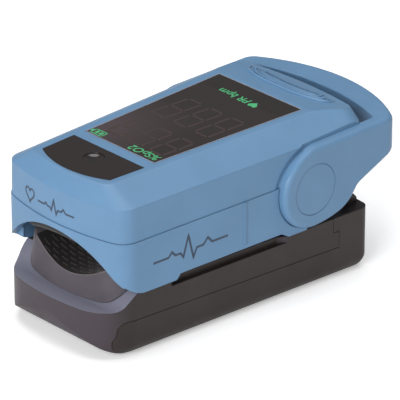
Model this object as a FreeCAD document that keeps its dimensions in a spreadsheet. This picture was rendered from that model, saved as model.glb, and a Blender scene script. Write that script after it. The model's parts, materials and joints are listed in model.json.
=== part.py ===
import FreeCAD, Part
import math
import os
import Sketcher

os.makedirs("parts", exist_ok=True)
doc = FreeCAD.newDocument("PulseOximeter")

# Frame: X runs along the finger (the finger enters at -X), Y across, +Z up.
# The origin is the middle of the resting face.  All lengths are millimetres.
DIMENSIONS = [
    ("side_slope", 0.05, "plan widening of the case per mm towards the rear"),
    ("wall", 1.6, "wall of the moulded case halves"),
    ("fit", 0.05, "gap between pieces that fit each other"),
    ("hinge_x", 13.9, "hinge axis, along X"),
    ("hinge_z", 20.1, "hinge axis, height"),
    # upper jaw
    ("cover_half", 16.3, "half width of the upper cover at x = 0, parting line"),
    ("cover_front", 29.9, "front of the upper cover, distance from the origin"),
    ("cover_rear", 29.3, "rear wall of the upper cover"),
    ("parting_z", 22.1, "joint between upper cover and middle frame"),
    ("belt_z", 28.3, "lower edge of the bevel round the top"),
    ("top_z", 31.3, "flat top"),
    ("top_half", 11.1, "half width of the flat top at x = 0"),
    ("top_front", 28.2, "front of the flat top"),
    ("cavity_z", 26.8, "roof of the wide cavity"),
    ("roof_z", 29.8, "roof of the narrow cavity under the top"),
    ("hub_radius", 7.3, "hinge hub"),
    ("hub_face", 18.3, "outer face of hubs and arms from the middle"),
    ("hub_inner", 15.3, "inner face of hubs and arms"),
    ("arm_top", 28.0, "top of the arms and of the thumb bow"),
    ("bow_rear", 38.9, "rear of the thumb bow"),
    ("rim_round", 0.9, "rounding of the outer edges of hubs, arms and bow"),
    ("bow_inner", 33.1, "inner edge of the thumb bow"),
    ("cap_radius", 4.7, "pivot cap"),
    ("cap_depth", 1.0, "recess of the pivot cap"),
    ("pin_radius", 1.5, "hinge pin"),
    ("pin_reach", 17.25, "end of the hinge pin from the middle"),
    ("skirt_bottom", 12.2, "lower edge of the middle frame"),
    ("skirt_end", 7.9, "rear end of the middle frame"),
    ("deck_thick", 1.15, "deck of the middle frame"),
    ("arch_top", 21.0, "top of the finger arch"),
    # window, inlay and button
    ("window_front", 15.1, "front edge of the display window from the origin"),
    ("window_rear", 18.15, "rear edge of the display window"),
    ("window_half", 9.52, "half width of the window at x = 0"),
    ("window_thick", 1.0, "display window"),
    ("inlay_rear", 17.5, "rear edge of the button inlay from the origin"),
    ("inlay_half", 9.75, "half width of the inlay at x = 0"),
    ("inlay_front", 27.2, "front of the button inlay"),
    ("inlay_thick", 0.6, "button inlay"),
    ("button_x", 20.9, "button centre from the origin"),
    ("button_radius", 1.8, "button"),
    # board and optics
    ("board_z", 25.6, "underside of the main board"),
    ("board_thick", 1.0, "main board"),
    ("board_half", 8.2, "half width of the main board"),
    ("board_front", 25.0, "front of the main board"),
    ("board_rear", 19.5, "rear of the main board"),
    ("sensor_x", 8.0, "optics from the origin, towards the front"),
    # lower jaw
    ("base_half", 15.7, "half width of the lower jaw at x = 0"),
    ("base_slope", 0.065, "plan widening of the lower jaw per mm towards the rear"),
    ("base_front", 32.0, "front of the lower jaw"),
    ("base_rear", 29.0, "rear of the lower jaw"),
    ("base_top", 12.0, "top of the side walls of the lower jaw"),
    ("base_round", 2.8, "rounding of the lower edges"),
    ("deck_z", 12.4, "top of the raised deck under the finger pad"),
    ("ledge_z", 8.95, "front ledge in the middle"),
    ("seam_z", 6.1, "upper edge of the battery cover at its rear notch"),
    ("seam_rise", 0.8, "rise of that edge towards the front"),
    ("core_half", 12.4, "half width of the battery box"),
    ("cover_floor", 0.9, "floor of the battery cover"),
    ("ear_inner", 12.9, "inner face of the hinge ears"),
    ("ear_outer", 14.9, "outer face of the hinge ears"),
    ("ear_radius", 3.6, "rounding of the hinge ears"),
    # finger pads
    ("pad_half", 12.3, "half width of the finger pads"),
    ("pad_front", 28.5, "front of the lower finger pad"),
    ("pad_rear", 6.4, "rear of the finger pads"),
    ("lip_z", 15.2, "top of the side lips of the lower finger pad"),
    ("trough_z", 13.2, "bottom of the finger trough"),
    ("mouth_z", 11.9, "bottom of the flared mouth"),
    ("roof_pad_z", 18.1, "underside of the upper finger pad in the middle"),
    # batteries, size AAA
    ("cell_radius", 5.25, "AAA cell"),
    ("cell_length", 43.7, "AAA cell without its nub"),
    ("cell_y", 5.6, "cell axis from the middle"),
    ("cell_z", 6.2, "cell axis height"),
    ("bay_half_x", 23.6, "half length of the battery bay"),
]

sheet = doc.addObject("Spreadsheet::Sheet", "Dims")
for row, (alias, value, meaning) in enumerate(DIMENSIONS, start=1):
    sheet.set("A%d" % row, str(value))
    sheet.setAlias("A%d" % row, alias)
    sheet.set("B%d" % row, meaning)
doc.recompute()

NODES = []


def dim(alias):
    return float(sheet.get(alias))


def keep(feature, label):
    feature.Label = label
    NODES.append(feature)
    return feature


# ---------------------------------------------------------------- outlines


def v2(x, y):
    return FreeCAD.Vector(x, y, 0)


def line(a, b):
    return Part.LineSegment(v2(*a), v2(*b))


def arc(a, through, b):
    return Part.Arc(v2(*a), v2(*through), v2(*b))


def polygon(points):
    """Closed chain of straight edges."""
    return [line(points[i - 1], points[i]) for i in range(len(points))]


def rectangle(x0, x1, y0, y1):
    return polygon([(x0, y0), (x1, y0), (x1, y1), (x0, y1)])


def round_end(apex, end_radius, corner, half, slope):
    """Corner between a bowed end (apex on +X) and the +Y side line.

    Returns the points where the corner leaves the side, its middle and
    where it meets the end.
    """
    tilt = math.sqrt(1 + slope * slope)
    end_centre = apex - end_radius
    reach = end_radius - corner
    inset = half - corner * tilt
    qa = 1 + slope * slope
    qb = 2 * (inset * slope - end_centre)
    qc = end_centre ** 2 + inset ** 2 - reach ** 2
    cx = (-qb + math.sqrt(qb * qb - 4 * qa * qc)) / (2 * qa)
    cy = inset + slope * cx
    side = (cx - corner * slope / tilt, cy + corner / tilt)
    grow = end_radius / reach
    end = (end_centre + (cx - end_centre) * grow, cy * grow)
    mx = (side[0] + end[0]) / 2 - cx
    my = (side[1] + end[1]) / 2 - cy
    size = math.hypot(mx, my)
    middle = (cx + mx * corner / size, cy + my * corner / size)
    return side, middle, end


def plan(front, front_bow, front_corner, rear, rear_bow, rear_corner, half, slope):
    """Plan outline of a case piece: bowed ends, round corners, tapered sides."""
    rear_pts = round_end(rear, rear_bow, rear_corner, half, slope)
    front_pts = round_end(front, front_bow, front_corner, half, -slope)
    f_side, f_mid, f_end = [(-x, y) for x, y in front_pts]
    r_side, r_mid, r_end = rear_pts

    def down(p):
        return (p[0], -p[1])

    return [
        arc(down(f_end), (-front, 0), f_end),
        arc(f_end, f_mid, f_side),
        line(f_side, r_side),
        arc(r_side, r_mid, r_end),
        arc(r_end, (rear, 0), down(r_end)),
        arc(down(r_end), down(r_mid), down(r_side)),
        line(down(r_side), down(f_side)),
        arc(down(f_side), down(f_mid), down(f_end)),
    ]


def tapered(x_front, x_rear, half, slope):
    """Four-sided outline whose half width is half + slope * x."""
    yf = half + slope * x_front
    yr = half + slope * x_rear
    return polygon([(x_front, -yf), (x_rear, -yr), (x_rear, yr), (x_front, yf)])


# ------------------------------------------------------- PartDesign helpers


def new_body(name):
    body = doc.addObject("PartDesign::Body", name)
    body.Placement = FreeCAD.Placement()
    return body


def new_sketch(body, plane, shapes, offset=None):
    """Sketch on one of the body's own planes; offset is a sheet expression.

    On XZ the normal is -Y, on YZ it is +X, on XY it is +Z.
    """
    sketch = body.newObject("Sketcher::SketchObject", body.Name + "_sketch")
    support = [f for f in body.Origin.OriginFeatures if f.Role == plane + "_Plane"][0]
    sketch.AttachmentSupport = [(support, "")]
    sketch.MapMode = "FlatFace"
    if offset is not None:
        sketch.setExpression("AttachmentOffset.Base.z", offset)
    for shape in shapes:
        sketch.addGeometry(shape)
    doc.recompute()
    return sketch


def circle(sketch, x, y, radius_expression):
    """Add a circle whose radius is driven by the sheet."""
    index = sketch.addGeometry(Part.Circle(v2(x, y), FreeCAD.Vector(0, 0, 1), 1.0))
    number = sketch.addConstraint(Sketcher.Constraint("Radius", index, 1.0))
    sketch.setExpression("Constraints[%d]" % number, radius_expression)
    doc.recompute()
    return index


def extrude(body, kind, sketch, length, both=False, flip=False):
    feature = body.newObject("PartDesign::" + kind, body.Name + "_" + kind.lower())
    feature.Profile = sketch
    feature.setExpression("Length", length)
    feature.Midplane = both
    feature.Reversed = flip
    doc.recompute()
    return feature


def pad(body, sketch, length, both=False, flip=False):
    return extrude(body, "Pad", sketch, length, both, flip)


def pocket(body, sketch, length, both=False, flip=False):
    """Cut; without flip the cut goes against the sketch normal."""
    return extrude(body, "Pocket", sketch, length, both, flip)


def loft(body, kind, sketches):
    feature = body.newObject("PartDesign::" + kind, body.Name + "_" + kind.lower())
    feature.Profile = sketches[0]
    feature.Sections = sketches[1:]
    feature.Ruled = True
    doc.recompute()
    return feature


def at_height(height):
    """Test for edges that lie wholly at one height."""
    def test(edge):
        box = edge.BoundBox
        return abs(box.ZMin - height) < 1e-4 and abs(box.ZMax - height) < 1e-4
    return test


def round_edges(body, base, test, radius):
    """Fillet every edge of base that passes the test."""
    names = ["Edge%d" % number for number, edge in enumerate(base.Shape.Edges, start=1)
             if test(edge)]
    feature = body.newObject("PartDesign::Fillet", body.Name + "_round")
    feature.Base = (base, names)
    feature.setExpression("Radius", radius)
    doc.recompute()
    return feature


# ------------------------------------------------------------ Part helpers


def bind(feature, expressions):
    for prop, expression in expressions.items():
        feature.setExpression(prop, expression)


def block(name, x0, x1, y0, y1, z0, z1):
    """Part box between sheet expressions."""
    box = doc.addObject("Part::Box", name)
    bind(box, {
        "Length": "(%s) - (%s)" % (x1, x0),
        "Width": "(%s) - (%s)" % (y1, y0),
        "Height": "(%s) - (%s)" % (z1, z0),
        "Placement.Base.x": x0,
        "Placement.Base.y": y0,
        "Placement.Base.z": z0,
    })
    doc.recompute()
    return box


def rod(name, radius, length, x, y, z, direction="Z"):
    """Part cylinder that starts at x, y, z and runs along +X, +Y or +Z."""
    turn = {
        "X": FreeCAD.Rotation(FreeCAD.Vector(0, 1, 0), 90),
        "Y": FreeCAD.Rotation(FreeCAD.Vector(1, 0, 0), -90),
        "Z": FreeCAD.Rotation(),
    }[direction]
    cylinder = doc.addObject("Part::Cylinder", name)
    cylinder.Placement = FreeCAD.Placement(FreeCAD.Vector(), turn)
    bind(cylinder, {
        "Radius": radius,
        "Height": length,
        "Placement.Base.x": x,
        "Placement.Base.y": y,
        "Placement.Base.z": z,
    })
    doc.recompute()
    return cylinder


def fuse(name, pieces):
    feature = doc.addObject("Part::MultiFuse", name)
    feature.Shapes = pieces
    doc.recompute()
    return feature


def cut(name, base, tool):
    feature = doc.addObject("Part::Cut", name)
    feature.Base = base
    feature.Tool = tool
    doc.recompute()
    return feature


def group(name, pieces):
    """Several separate solids kept as one node."""
    feature = doc.addObject("Part::Compound", name)
    feature.Links = pieces
    doc.recompute()
    return feature


HX = dim("hinge_x")
HZ = dim("hinge_z")
SLOPE = dim("side_slope")
WALL = dim("wall")
FIT = dim("fit")
BIG = 60.0
FRONT_CORNER = 3.4
REAR_CORNER = 4.2
BOW_RADIUS = 31.0
SCREWS = [(-22.5, 10.6), (-22.5, -10.6), (3.6, 11.6), (3.6, -11.6)]


# ------------------------------------------------------------- upper jaw


def parting_plan(grow=0.0):
    front = dim("cover_front") + grow
    return plan(front, 47, FRONT_CORNER + grow, dim("cover_rear") + grow, 60,
                REAR_CORNER + grow, dim("cover_half") + grow, SLOPE)


def side_silhouette():
    """Hub, arm and thumb bow seen from the side, as one smooth closed outline."""
    radius = dim("hub_radius")
    top = dim("arm_top")
    rear = dim("bow_rear") + 1
    front = HX - radius
    # the crown is an arc that rises from the front of the hub to the arm's top
    crown = top - HZ
    crown_x = front + crown
    slant = math.radians(45)
    foot = (HX, HZ - radius)
    shallow = bend_up(foot, 21.9, 0, math.radians(16))
    heel = bend_up(shallow, 7.0, math.radians(16), math.radians(58))
    hollow = bend_down(heel, 3.0, math.radians(58), math.radians(23))
    under = (33.0, hollow[1] + (33.0 - hollow[0]) * math.tan(math.radians(23)))
    level = bend_down(under, 4.0, math.radians(23), 0)
    return [
        arc((crown_x, top), (crown_x - crown * math.cos(slant), HZ + crown * math.sin(slant)),
            (front, HZ)),
        arc((front, HZ), (HX - radius * math.cos(slant), HZ - radius * math.sin(slant)), foot),
        arc(foot, bend_up(foot, 21.9, 0, math.radians(8)), shallow),
        arc(shallow, bend_up(shallow, 7.0, math.radians(16), math.radians(37)), heel),
        arc(heel, bend_down(heel, 3.0, math.radians(58), math.radians(40)), hollow),
        line(hollow, under),
        arc(under, bend_down(under, 4.0, math.radians(23), math.radians(11)), level),
        line(level, (rear, level[1])),
        line((rear, level[1]), (rear, top)),
        line((rear, top), (crown_x, top)),
    ]


def bend_up(start, radius, heading, turned):
    """End of a bend that steepens from one heading to another, towards +X."""
    return (start[0] + radius * (math.sin(turned) - math.sin(heading)),
            start[1] + radius * (math.cos(heading) - math.cos(turned)))


def bend_down(start, radius, heading, turned):
    """End of a bend that flattens from one heading to another, towards +X."""
    return (start[0] + radius * (math.sin(heading) - math.sin(turned)),
            start[1] + radius * (math.cos(turned) - math.cos(heading)))


def bow_outer():
    """Outline round hubs, arms and bow, in plan."""
    face = dim("hub_face")
    rear = dim("bow_rear")
    front = HX - dim("hub_radius") - 1
    side, middle, end = round_end(rear, BOW_RADIUS, 3.0, face, 0.0)
    return [
        line((front, face), side),
        arc(side, middle, end),
        arc(end, (rear, 0), (end[0], -end[1])),
        arc((end[0], -end[1]), (middle[0], -middle[1]), (side[0], -side[1])),
        line((side[0], -side[1]), (front, -face)),
        line((front, -face), (front, face)),
    ]


def bow_opening(inner):
    """Space between the arms, in plan."""
    rear = dim("bow_inner")
    bow_radius = 44.0
    corner = rear - bow_radius + math.sqrt(bow_radius ** 2 - inner ** 2)
    front = HX - dim("hub_radius") - 2
    return [
        line((front, inner), (corner, inner)),
        arc((corner, inner), (rear, 0), (corner, -inner)),
        line((corner, -inner), (front, -inner)),
        line((front, -inner), (front, inner)),
    ]


def runs_along(edge):
    """True for edges that lead along X, not straight across or straight up."""
    return edge.BoundBox.XLength > 0.01


# apex, half span and bow of each rib on the thumb rest
THUMB_RIBS = [(23.6, 9.6, 2.0), (24.6, 8.2, 1.3), (25.5, 7.2, 0.9)]


def rib_outline(apex, half, sag, width=0.32):
    """Thin curved rib, in plan."""
    return [
        arc((apex + sag, -half), (apex, 0), (apex + sag, half)),
        line((apex + sag, half), (apex + sag + width, half)),
        arc((apex + sag + width, half), (apex + width, 0), (apex + sag + width, -half)),
        line((apex + sag + width, -half), (apex + sag, -half)),
    ]


def thumb_slope(lift):
    """Region above the thumb rest, seen from the side."""
    top = dim("top_z")
    return [
        arc((18.9, top + lift), (24.2, top - 0.75 + lift), (31.0, 29.0 + lift)),
        line((31.0, 29.0 + lift), (31.0, 33.0)),
        line((31.0, 33.0), (18.9, 33.0)),
        line((18.9, 33.0), (18.9, top + lift)),
    ]


def rim_relief(reach):
    """Narrow band that follows the hub and the top of the arm."""
    wide = reach + 0.9
    top = dim("arm_top")
    return [
        arc((HX - reach, HZ + 1.75), (HX - reach * 0.7071, HZ + reach * 0.7071),
            (HX + 1.0, top + 0.02)),
        line((HX + 1.0, top + 0.02), (31.5, top + 0.02)),
        line((31.5, top + 0.02), (31.5, top + 1.2)),
        line((31.5, top + 1.2), (HX + 1.0, top + 0.8)),
        arc((HX + 1.0, top + 0.8), (HX - wide * 0.7071, HZ + wide * 0.7071),
            (HX - wide, HZ + 1.75)),
        line((HX - wide, HZ + 1.75), (HX - reach, HZ + 1.75)),
    ]


def make_upper_cover():
    body = new_body("upper_cover")
    arms = new_sketch(body, "XZ", side_silhouette())
    pad(body, arms, "2 * Dims.hub_face", both=True)
    outside = new_sketch(body, "XY", bow_outer() + rectangle(-BIG, BIG, -BIG, BIG))
    arms_form = pocket(body, outside, "100", both=True)
    round_edges(body, arms_form, runs_along, "Dims.rim_round")
    between = new_sketch(body, "XY", bow_opening(dim("hub_inner")))
    pocket(body, between, "100", both=True)
    # the gap widens above the deck, round the rear corners of the body
    wider = new_sketch(body, "XY", bow_opening(dim("hub_inner") + 0.8), "24")
    pocket(body, wider, "10", flip=True)

    low = new_sketch(body, "XY", parting_plan(), "Dims.parting_z")
    belt = new_sketch(body, "XY", plan(
        dim("cover_front") - 0.05, 47, FRONT_CORNER, dim("cover_rear"), 60, REAR_CORNER,
        dim("cover_half") - 0.15, SLOPE), "Dims.belt_z")
    top = new_sketch(body, "XY", plan(
        dim("top_front"), 32, 2.0, dim("cover_rear") - 0.6, 60, 3.0,
        dim("top_half"), SLOPE), "Dims.top_z")
    case = loft(body, "AdditiveLoft", [low, belt, top])
    round_edges(body, case, at_height(dim("top_z")), "1")

    wide = new_sketch(body, "XY", plan(
        dim("cover_front") - WALL, 44, 2.8, 20.6, 80, 1.0,
        dim("cover_half") - WALL, SLOPE), "Dims.parting_z")
    pocket(body, wide, "Dims.cavity_z - Dims.parting_z", flip=True)
    narrow = new_sketch(body, "XY", plan(
        26.0, 44, 1.5, 20.6, 80, 1.0, dim("top_half") - 1.7, SLOPE), "Dims.parting_z")
    pocket(body, narrow, "Dims.roof_z - Dims.parting_z", flip=True)
    tail = new_sketch(body, "XY", plan(
        -22.2, 80, 0.5, dim("cover_rear") - WALL, 60, 1.0, 12.6, 0.0), "Dims.parting_z")
    pocket(body, tail, "Dims.cavity_z - Dims.parting_z", flip=True)

    slope = new_sketch(body, "XZ", thumb_slope(0.0))
    pocket(body, slope, "2 * Dims.cover_half", both=True)
    ribs = new_sketch(body, "XY", [
        edge for apex, half, sag in THUMB_RIBS for edge in rib_outline(apex, half, sag)],
        "Dims.top_z - 1.6")
    pad(body, ribs, "2")
    rib_tops = new_sketch(body, "XZ", thumb_slope(0.22))
    pocket(body, rib_tops, "2 * Dims.cover_half", both=True)
    # step that frees the rims of the hubs and arms from the side walls
    reach = dim("hub_radius")
    for side in (1, -1):
        relief = new_sketch(body, "XZ", rim_relief(reach), "%d * 19" % side)
        pocket(body, relief, "2.6", flip=(side < 0))

    window = new_sketch(body, "XY", tapered(
        -dim("window_front") - FIT, dim("window_rear") + FIT,
        dim("window_half") + FIT, SLOPE), "Dims.top_z")
    pocket(body, window, "Dims.window_thick")
    opening = new_sketch(body, "XY", rectangle(-13.5, 16.5, -8.0, 8.0), "Dims.top_z")
    pocket(body, opening, "Dims.top_z - Dims.roof_z + 0.1")
    inlay = new_sketch(body, "XY", inlay_outline(FIT), "Dims.top_z")
    pocket(body, inlay, "Dims.inlay_thick")
    hole = new_sketch(body, "XY", [], "Dims.top_z")
    circle(hole, -dim("button_x"), 0, "Dims.button_radius + Dims.fit")
    pocket(body, hole, "Dims.top_z - Dims.roof_z + 0.1")

    posts = new_sketch(body, "XY", [], "Dims.parting_z + 1.3")
    for x, y in SCREWS:
        circle(posts, x, y, "1.9")
    pad(body, posts, "Dims.cavity_z - Dims.parting_z - 1.2")
    pilots = new_sketch(body, "XY", [], "Dims.parting_z + 1.3")
    for x, y in SCREWS:
        circle(pilots, x, y, "0.8")
    pocket(body, pilots, "4", flip=True)

    seats = new_sketch(body, "XZ", [])
    circle(seats, HX, HZ, "Dims.pin_radius")
    pocket(body, seats, "60", both=True)
    for side, name in ((1, "far"), (-1, "near")):
        recess = new_sketch(body, "XZ", [], "%d * Dims.hub_face" % side)
        circle(recess, HX, HZ, "Dims.cap_radius + Dims.fit")
        pocket(body, recess, "Dims.cap_depth + Dims.fit", flip=(side < 0))
    return keep(body, "upper_cover")


def inlay_outline(grow=0.0):
    """Button inlay: straight rear edge, tapered sides, bowed front."""
    rear = -dim("inlay_rear") + grow
    side = -25.0
    half = dim("inlay_half") + grow
    y_rear = half + SLOPE * rear
    y_side = half + SLOPE * side
    front = -dim("inlay_front") - grow
    return [
        line((rear, -y_rear), (rear, y_rear)),
        line((rear, y_rear), (side, y_side)),
        arc((side, y_side), (front, 0), (side, -y_side)),
        line((side, -y_side), (rear, -y_rear)),
    ]


def finger_arch():
    """Opening for the finger, seen along X: a round crown on straight flanks."""
    crown_half = 11.0
    crown_z = dim("arch_top") - 4.0
    flank_half = 13.6
    flank_z = crown_z - 2.4
    side = 16.0
    side_z = 12.0
    return [
        arc((-crown_half, crown_z), (0, dim("arch_top")), (crown_half, crown_z)),
        line((crown_half, crown_z), (flank_half, flank_z)),
        line((flank_half, flank_z), (side, side_z)),
        line((side, side_z), (side, 8.0)),
        line((side, 8.0), (-side, 8.0)),
        line((-side, 8.0), (-side, side_z)),
        line((-side, side_z), (-flank_half, flank_z)),
        line((-flank_half, flank_z), (-crown_half, crown_z)),
    ]


def make_middle_frame():
    body = new_body("middle_frame")
    outer = new_sketch(body, "XY", parting_plan(0.14), "Dims.skirt_bottom")
    pad(body, outer, "Dims.parting_z - Dims.fit - Dims.skirt_bottom")
    inner = new_sketch(body, "XY", parting_plan(-WALL - 0.1), "Dims.skirt_bottom")
    pocket(body, inner, "Dims.parting_z - Dims.deck_thick - Dims.skirt_bottom", flip=True)
    # between the hubs the frame ends in front of the hinge
    middle = new_sketch(body, "XY", rectangle(
        dim("skirt_end"), BIG, -dim("hub_inner") + 0.1, dim("hub_inner") - 0.1))
    pocket(body, middle, "100", both=True)
    # outside them it stops against the round of the hubs
    reach = dim("hub_radius") + 0.12
    low = HZ - reach
    for side in (1, -1):
        beside = new_sketch(body, "XZ", [
            arc((HX, HZ + reach), (HX - reach, HZ), (HX - 0.8, HZ - math.sqrt(reach ** 2 - 0.64))),
            line((HX - 0.8, HZ - math.sqrt(reach ** 2 - 0.64)), (HX - 0.8, 11.0)),
            line((HX - 0.8, 11.0), (BIG, 11.0)),
            line((BIG, 11.0), (BIG, HZ + reach)),
            line((BIG, HZ + reach), (HX, HZ + reach)),
        ], "%d * (Dims.hub_inner - 0.2)" % side)
        pocket(body, beside, "40", flip=(side > 0))
    lower_lip = new_sketch(body, "XZ", [
        line((-16.5, 12.0), (-15.5, 13.2)),
        line((-15.5, 13.2), (7.2, 13.2)),
        line((7.2, 13.2), (9.2, 12.0)),
        line((9.2, 12.0), (-16.5, 12.0)),
    ])
    pocket(body, lower_lip, "80", both=True)
    arch = new_sketch(body, "YZ", finger_arch(), "-25.6")
    pocket(body, arch, "20")
    # the lower edge sweeps up into the arch round the front corners
    upswept = new_sketch(body, "XZ", [
        arc((-22.2, 12.1), (-25.0, 12.65), (-27.0, 13.9)),
        line((-27.0, 13.9), (-BIG, 15.4)),
        line((-BIG, 15.4), (-BIG, 10.0)),
        line((-BIG, 10.0), (-22.2, 10.0)),
        line((-22.2, 10.0), (-22.2, 12.1)),
    ])
    pocket(body, upswept, "80", both=True)
    bosses = new_sketch(body, "XY", [], "Dims.parting_z - Dims.fit - 0.5")
    for x, y in SCREWS:
        circle(bosses, x, y, "1.9")
    pad(body, bosses, "1.75")
    heads = new_sketch(body, "XY", [], "Dims.parting_z - Dims.deck_thick - 0.1")
    for x, y in SCREWS:
        circle(heads, x, y, "1.5")
    pocket(body, heads, "1.3", flip=True)
    holes = new_sketch(body, "XY", [], "Dims.parting_z - Dims.deck_thick")
    for x, y in SCREWS:
        circle(holes, x, y, "0.9")
    pocket(body, holes, "5", flip=True)
    light = new_sketch(body, "XY", rectangle(
        -dim("sensor_x") - 1.6, -dim("sensor_x") + 1.6, -1.6, 1.6), "Dims.parting_z")
    pocket(body, light, "3")
    posts = new_sketch(body, "XY", [], "Dims.parting_z - 0.3")
    for x in (-18.0, 1.0):
        for y in (-6.0, 6.0):
            circle(posts, x, y, "1.2")
    pad(body, posts, "Dims.board_z - Dims.parting_z + 0.3 - Dims.fit")
    stop = new_sketch(body, "XY", rectangle(6.6, 7.6, -10.5, 10.5), "Dims.parting_z - 0.5")
    pad(body, stop, "5.6", flip=True)
    ridge = new_sketch(body, "XY", rectangle(-1.5, -0.9, -16.55, 16.55), "14.1")
    rib = pad(body, ridge, "Dims.parting_z - Dims.fit - 14.1")
    keep_open = new_sketch(body, "XY", rectangle(-2.5, 0.0, -14.4, 14.4), "14.0")
    pocket(body, keep_open, "Dims.parting_z - Dims.deck_thick - 14.0", flip=True)
    return keep(body, "middle_frame")


def make_window():
    body = new_body("display_window")
    outline = new_sketch(body, "XY", tapered(
        -dim("window_front"), dim("window_rear"), dim("window_half"), SLOPE),
        "Dims.top_z - Dims.window_thick + 0.02")
    pad(body, outline, "Dims.window_thick - 0.02")
    return keep(body, "display_window")


def make_inlay():
    body = new_body("button_panel")
    outline = new_sketch(body, "XY", inlay_outline(), "Dims.top_z - Dims.inlay_thick + 0.02")
    circle(outline, -dim("button_x"), 0, "Dims.button_radius + Dims.fit")
    pad(body, outline, "Dims.inlay_thick - 0.02")
    return keep(body, "button_panel")


def make_button():
    """Round button with a dished top, a flange that holds it in and a stem."""
    at = "-Dims.button_x"
    top = dim("top_z") - 0.1
    reach = dim("button_radius") - 0.35
    depth = 0.36
    ball = (reach ** 2 + depth ** 2) / (2 * depth)
    cap = rod("button_cap", "Dims.button_radius", "Dims.top_z - Dims.roof_z + 0.1",
              at, "0", "Dims.roof_z - 0.2")
    flange = rod("button_flange", "Dims.button_radius + 0.8", "0.4", at, "0",
                 "Dims.roof_z - 0.5")
    stem = rod("button_stem", "0.9", "0.5", at, "0", "Dims.roof_z - 0.8")
    dish = doc.addObject("Part::Sphere", "button_dish")
    dish.Radius = ball
    dish.Placement = FreeCAD.Placement(
        FreeCAD.Vector(-dim("button_x"), 0, top - depth + ball), FreeCAD.Rotation())
    keep(cut("power_button", fuse("button_blank", [cap, flange, stem]), dish), "power_button")


def make_switch():
    top = "Dims.board_z + Dims.board_thick"
    base = block("switch_base", "-Dims.button_x - 2.2", "-Dims.button_x + 2.2",
                 "-2.2", "2.2", top + " + 0.01", top + " + 1.8")
    well = rod("switch_well", "1.05", "1.6", "-Dims.button_x", "0", top + " + 0.5")
    keep(cut("switch_body", base, well), "switch_body")
    keep(rod("switch_plunger", "1", "1.4", "-Dims.button_x", "0", top + " + 0.98"),
         "switch_plunger")


def make_boards():
    under = "Dims.board_z"
    top = "Dims.board_z + Dims.board_thick"
    keep(block("main_board", "-Dims.board_front", "Dims.board_rear",
               "-Dims.board_half", "Dims.board_half", under, top), "main_board")
    processor = block("chip_processor", "-9", "-2", "-3.5", "3.5",
                      under + " - 1.2", under + " - 0.01")
    driver = block("chip_driver", "1.5", "5.5", "-4.4", "-0.6",
                   under + " - 1", under + " - 0.01")
    crystal = block("chip_crystal", "-13.5", "-11", "2.5", "6",
                    under + " - 0.9", under + " - 0.01")
    keep(group("board_chips", [processor, driver, crystal]), "board_chips")
    keep(block("flex_connector", "7.2", "10.6", "-3.2", "3.2",
               under + " - 1.1", under + " - 0.01"), "flex_connector")
    keep(block("display_module", "-12.2", "15.2", "-7.4", "7.4",
               top + " + 0.01", "Dims.roof_z - 0.1"), "display_module")
    keep(block("legend_film", "-13.3", "16.3", "-7.8", "7.8",
               "Dims.roof_z + 0.3", "Dims.roof_z + 0.45"), "legend_film")


def make_caps_and_pin():
    keep(rod("hinge_pin", "Dims.pin_radius", "2 * Dims.pin_reach",
             "Dims.hinge_x", "-Dims.pin_reach", "Dims.hinge_z", "Y"), "hinge_pin")
    keep(rod("pivot_cap_left", "Dims.cap_radius", "Dims.cap_depth - 0.05",
             "Dims.hinge_x", "-Dims.hub_face + 0.05", "Dims.hinge_z", "Y"), "pivot_cap_left")
    keep(rod("pivot_cap_right", "Dims.cap_radius", "Dims.cap_depth - 0.05",
             "Dims.hinge_x", "Dims.hub_face - Dims.cap_depth", "Dims.hinge_z", "Y"),
         "pivot_cap_right")


def make_screws():
    screws = []
    for number, (x, y) in enumerate(SCREWS, start=1):
        head = rod("screw_head_%d" % number, "1.4", "1", str(x), str(y),
                   "Dims.parting_z - Dims.deck_thick + 0.15")
        shank = rod("screw_shank_%d" % number, "0.77", "4.6", str(x), str(y),
                    "Dims.parting_z - Dims.deck_thick + 1.1")
        screws.append(fuse("screw_%d" % number, [head, shank]))
    keep(group("case_screws", screws), "case_screws")


def make_upper_pad():
    """Silicone roof of the finger channel."""
    body = new_body("upper_finger_pad")
    half = dim("pad_half")
    low = 15.9
    edge = half - 0.8
    outline = new_sketch(body, "XY", plan(
        27.7, 45, 3.0, dim("pad_rear"), 200, 0.6, half, 0.0), str(low))
    pad(body, outline, "Dims.parting_z - Dims.deck_thick - Dims.fit - %s" % low)
    section = new_sketch(body, "YZ", [
        arc((-edge, low), (0, dim("roof_pad_z")), (edge, low)),
        line((edge, low), (edge, low - 2)),
        line((edge, low - 2), (-edge, low - 2)),
        line((-edge, low - 2), (-edge, low)),
    ])
    pocket(body, section, "100", both=True)
    light = new_sketch(body, "XY", rectangle(
        -dim("sensor_x") - 2.6, -dim("sensor_x") + 2.6, -2.6, 2.6), "14")
    pocket(body, light, "10", flip=True)
    keep(body, "upper_finger_pad")
    sx = "-Dims.sensor_x"
    keep(block("emitter_window", sx + " - 2.5", sx + " + 2.5", "-2.5", "2.5",
               "Dims.roof_pad_z + 0.05", "Dims.roof_pad_z + 0.65"), "emitter_window")
    keep(block("emitter_led", sx + " - 1.5", sx + " + 1.5", "-1.5", "1.5",
               "Dims.roof_pad_z + 0.7", "Dims.parting_z - 0.1"), "emitter_led")


# ------------------------------------------------------------- lower jaw


def base_plan():
    return plan(dim("base_front"), 45, 8.0, dim("base_rear"), 150, 1.7,
                dim("base_half"), dim("base_slope"))


def after_bend(start, radius, heading, turned):
    """Point reached from start on a bend that rises towards -X."""
    return (start[0] - radius * (math.sin(turned) - math.sin(heading)),
            start[1] + radius * (math.cos(heading) - math.cos(turned)))


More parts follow.
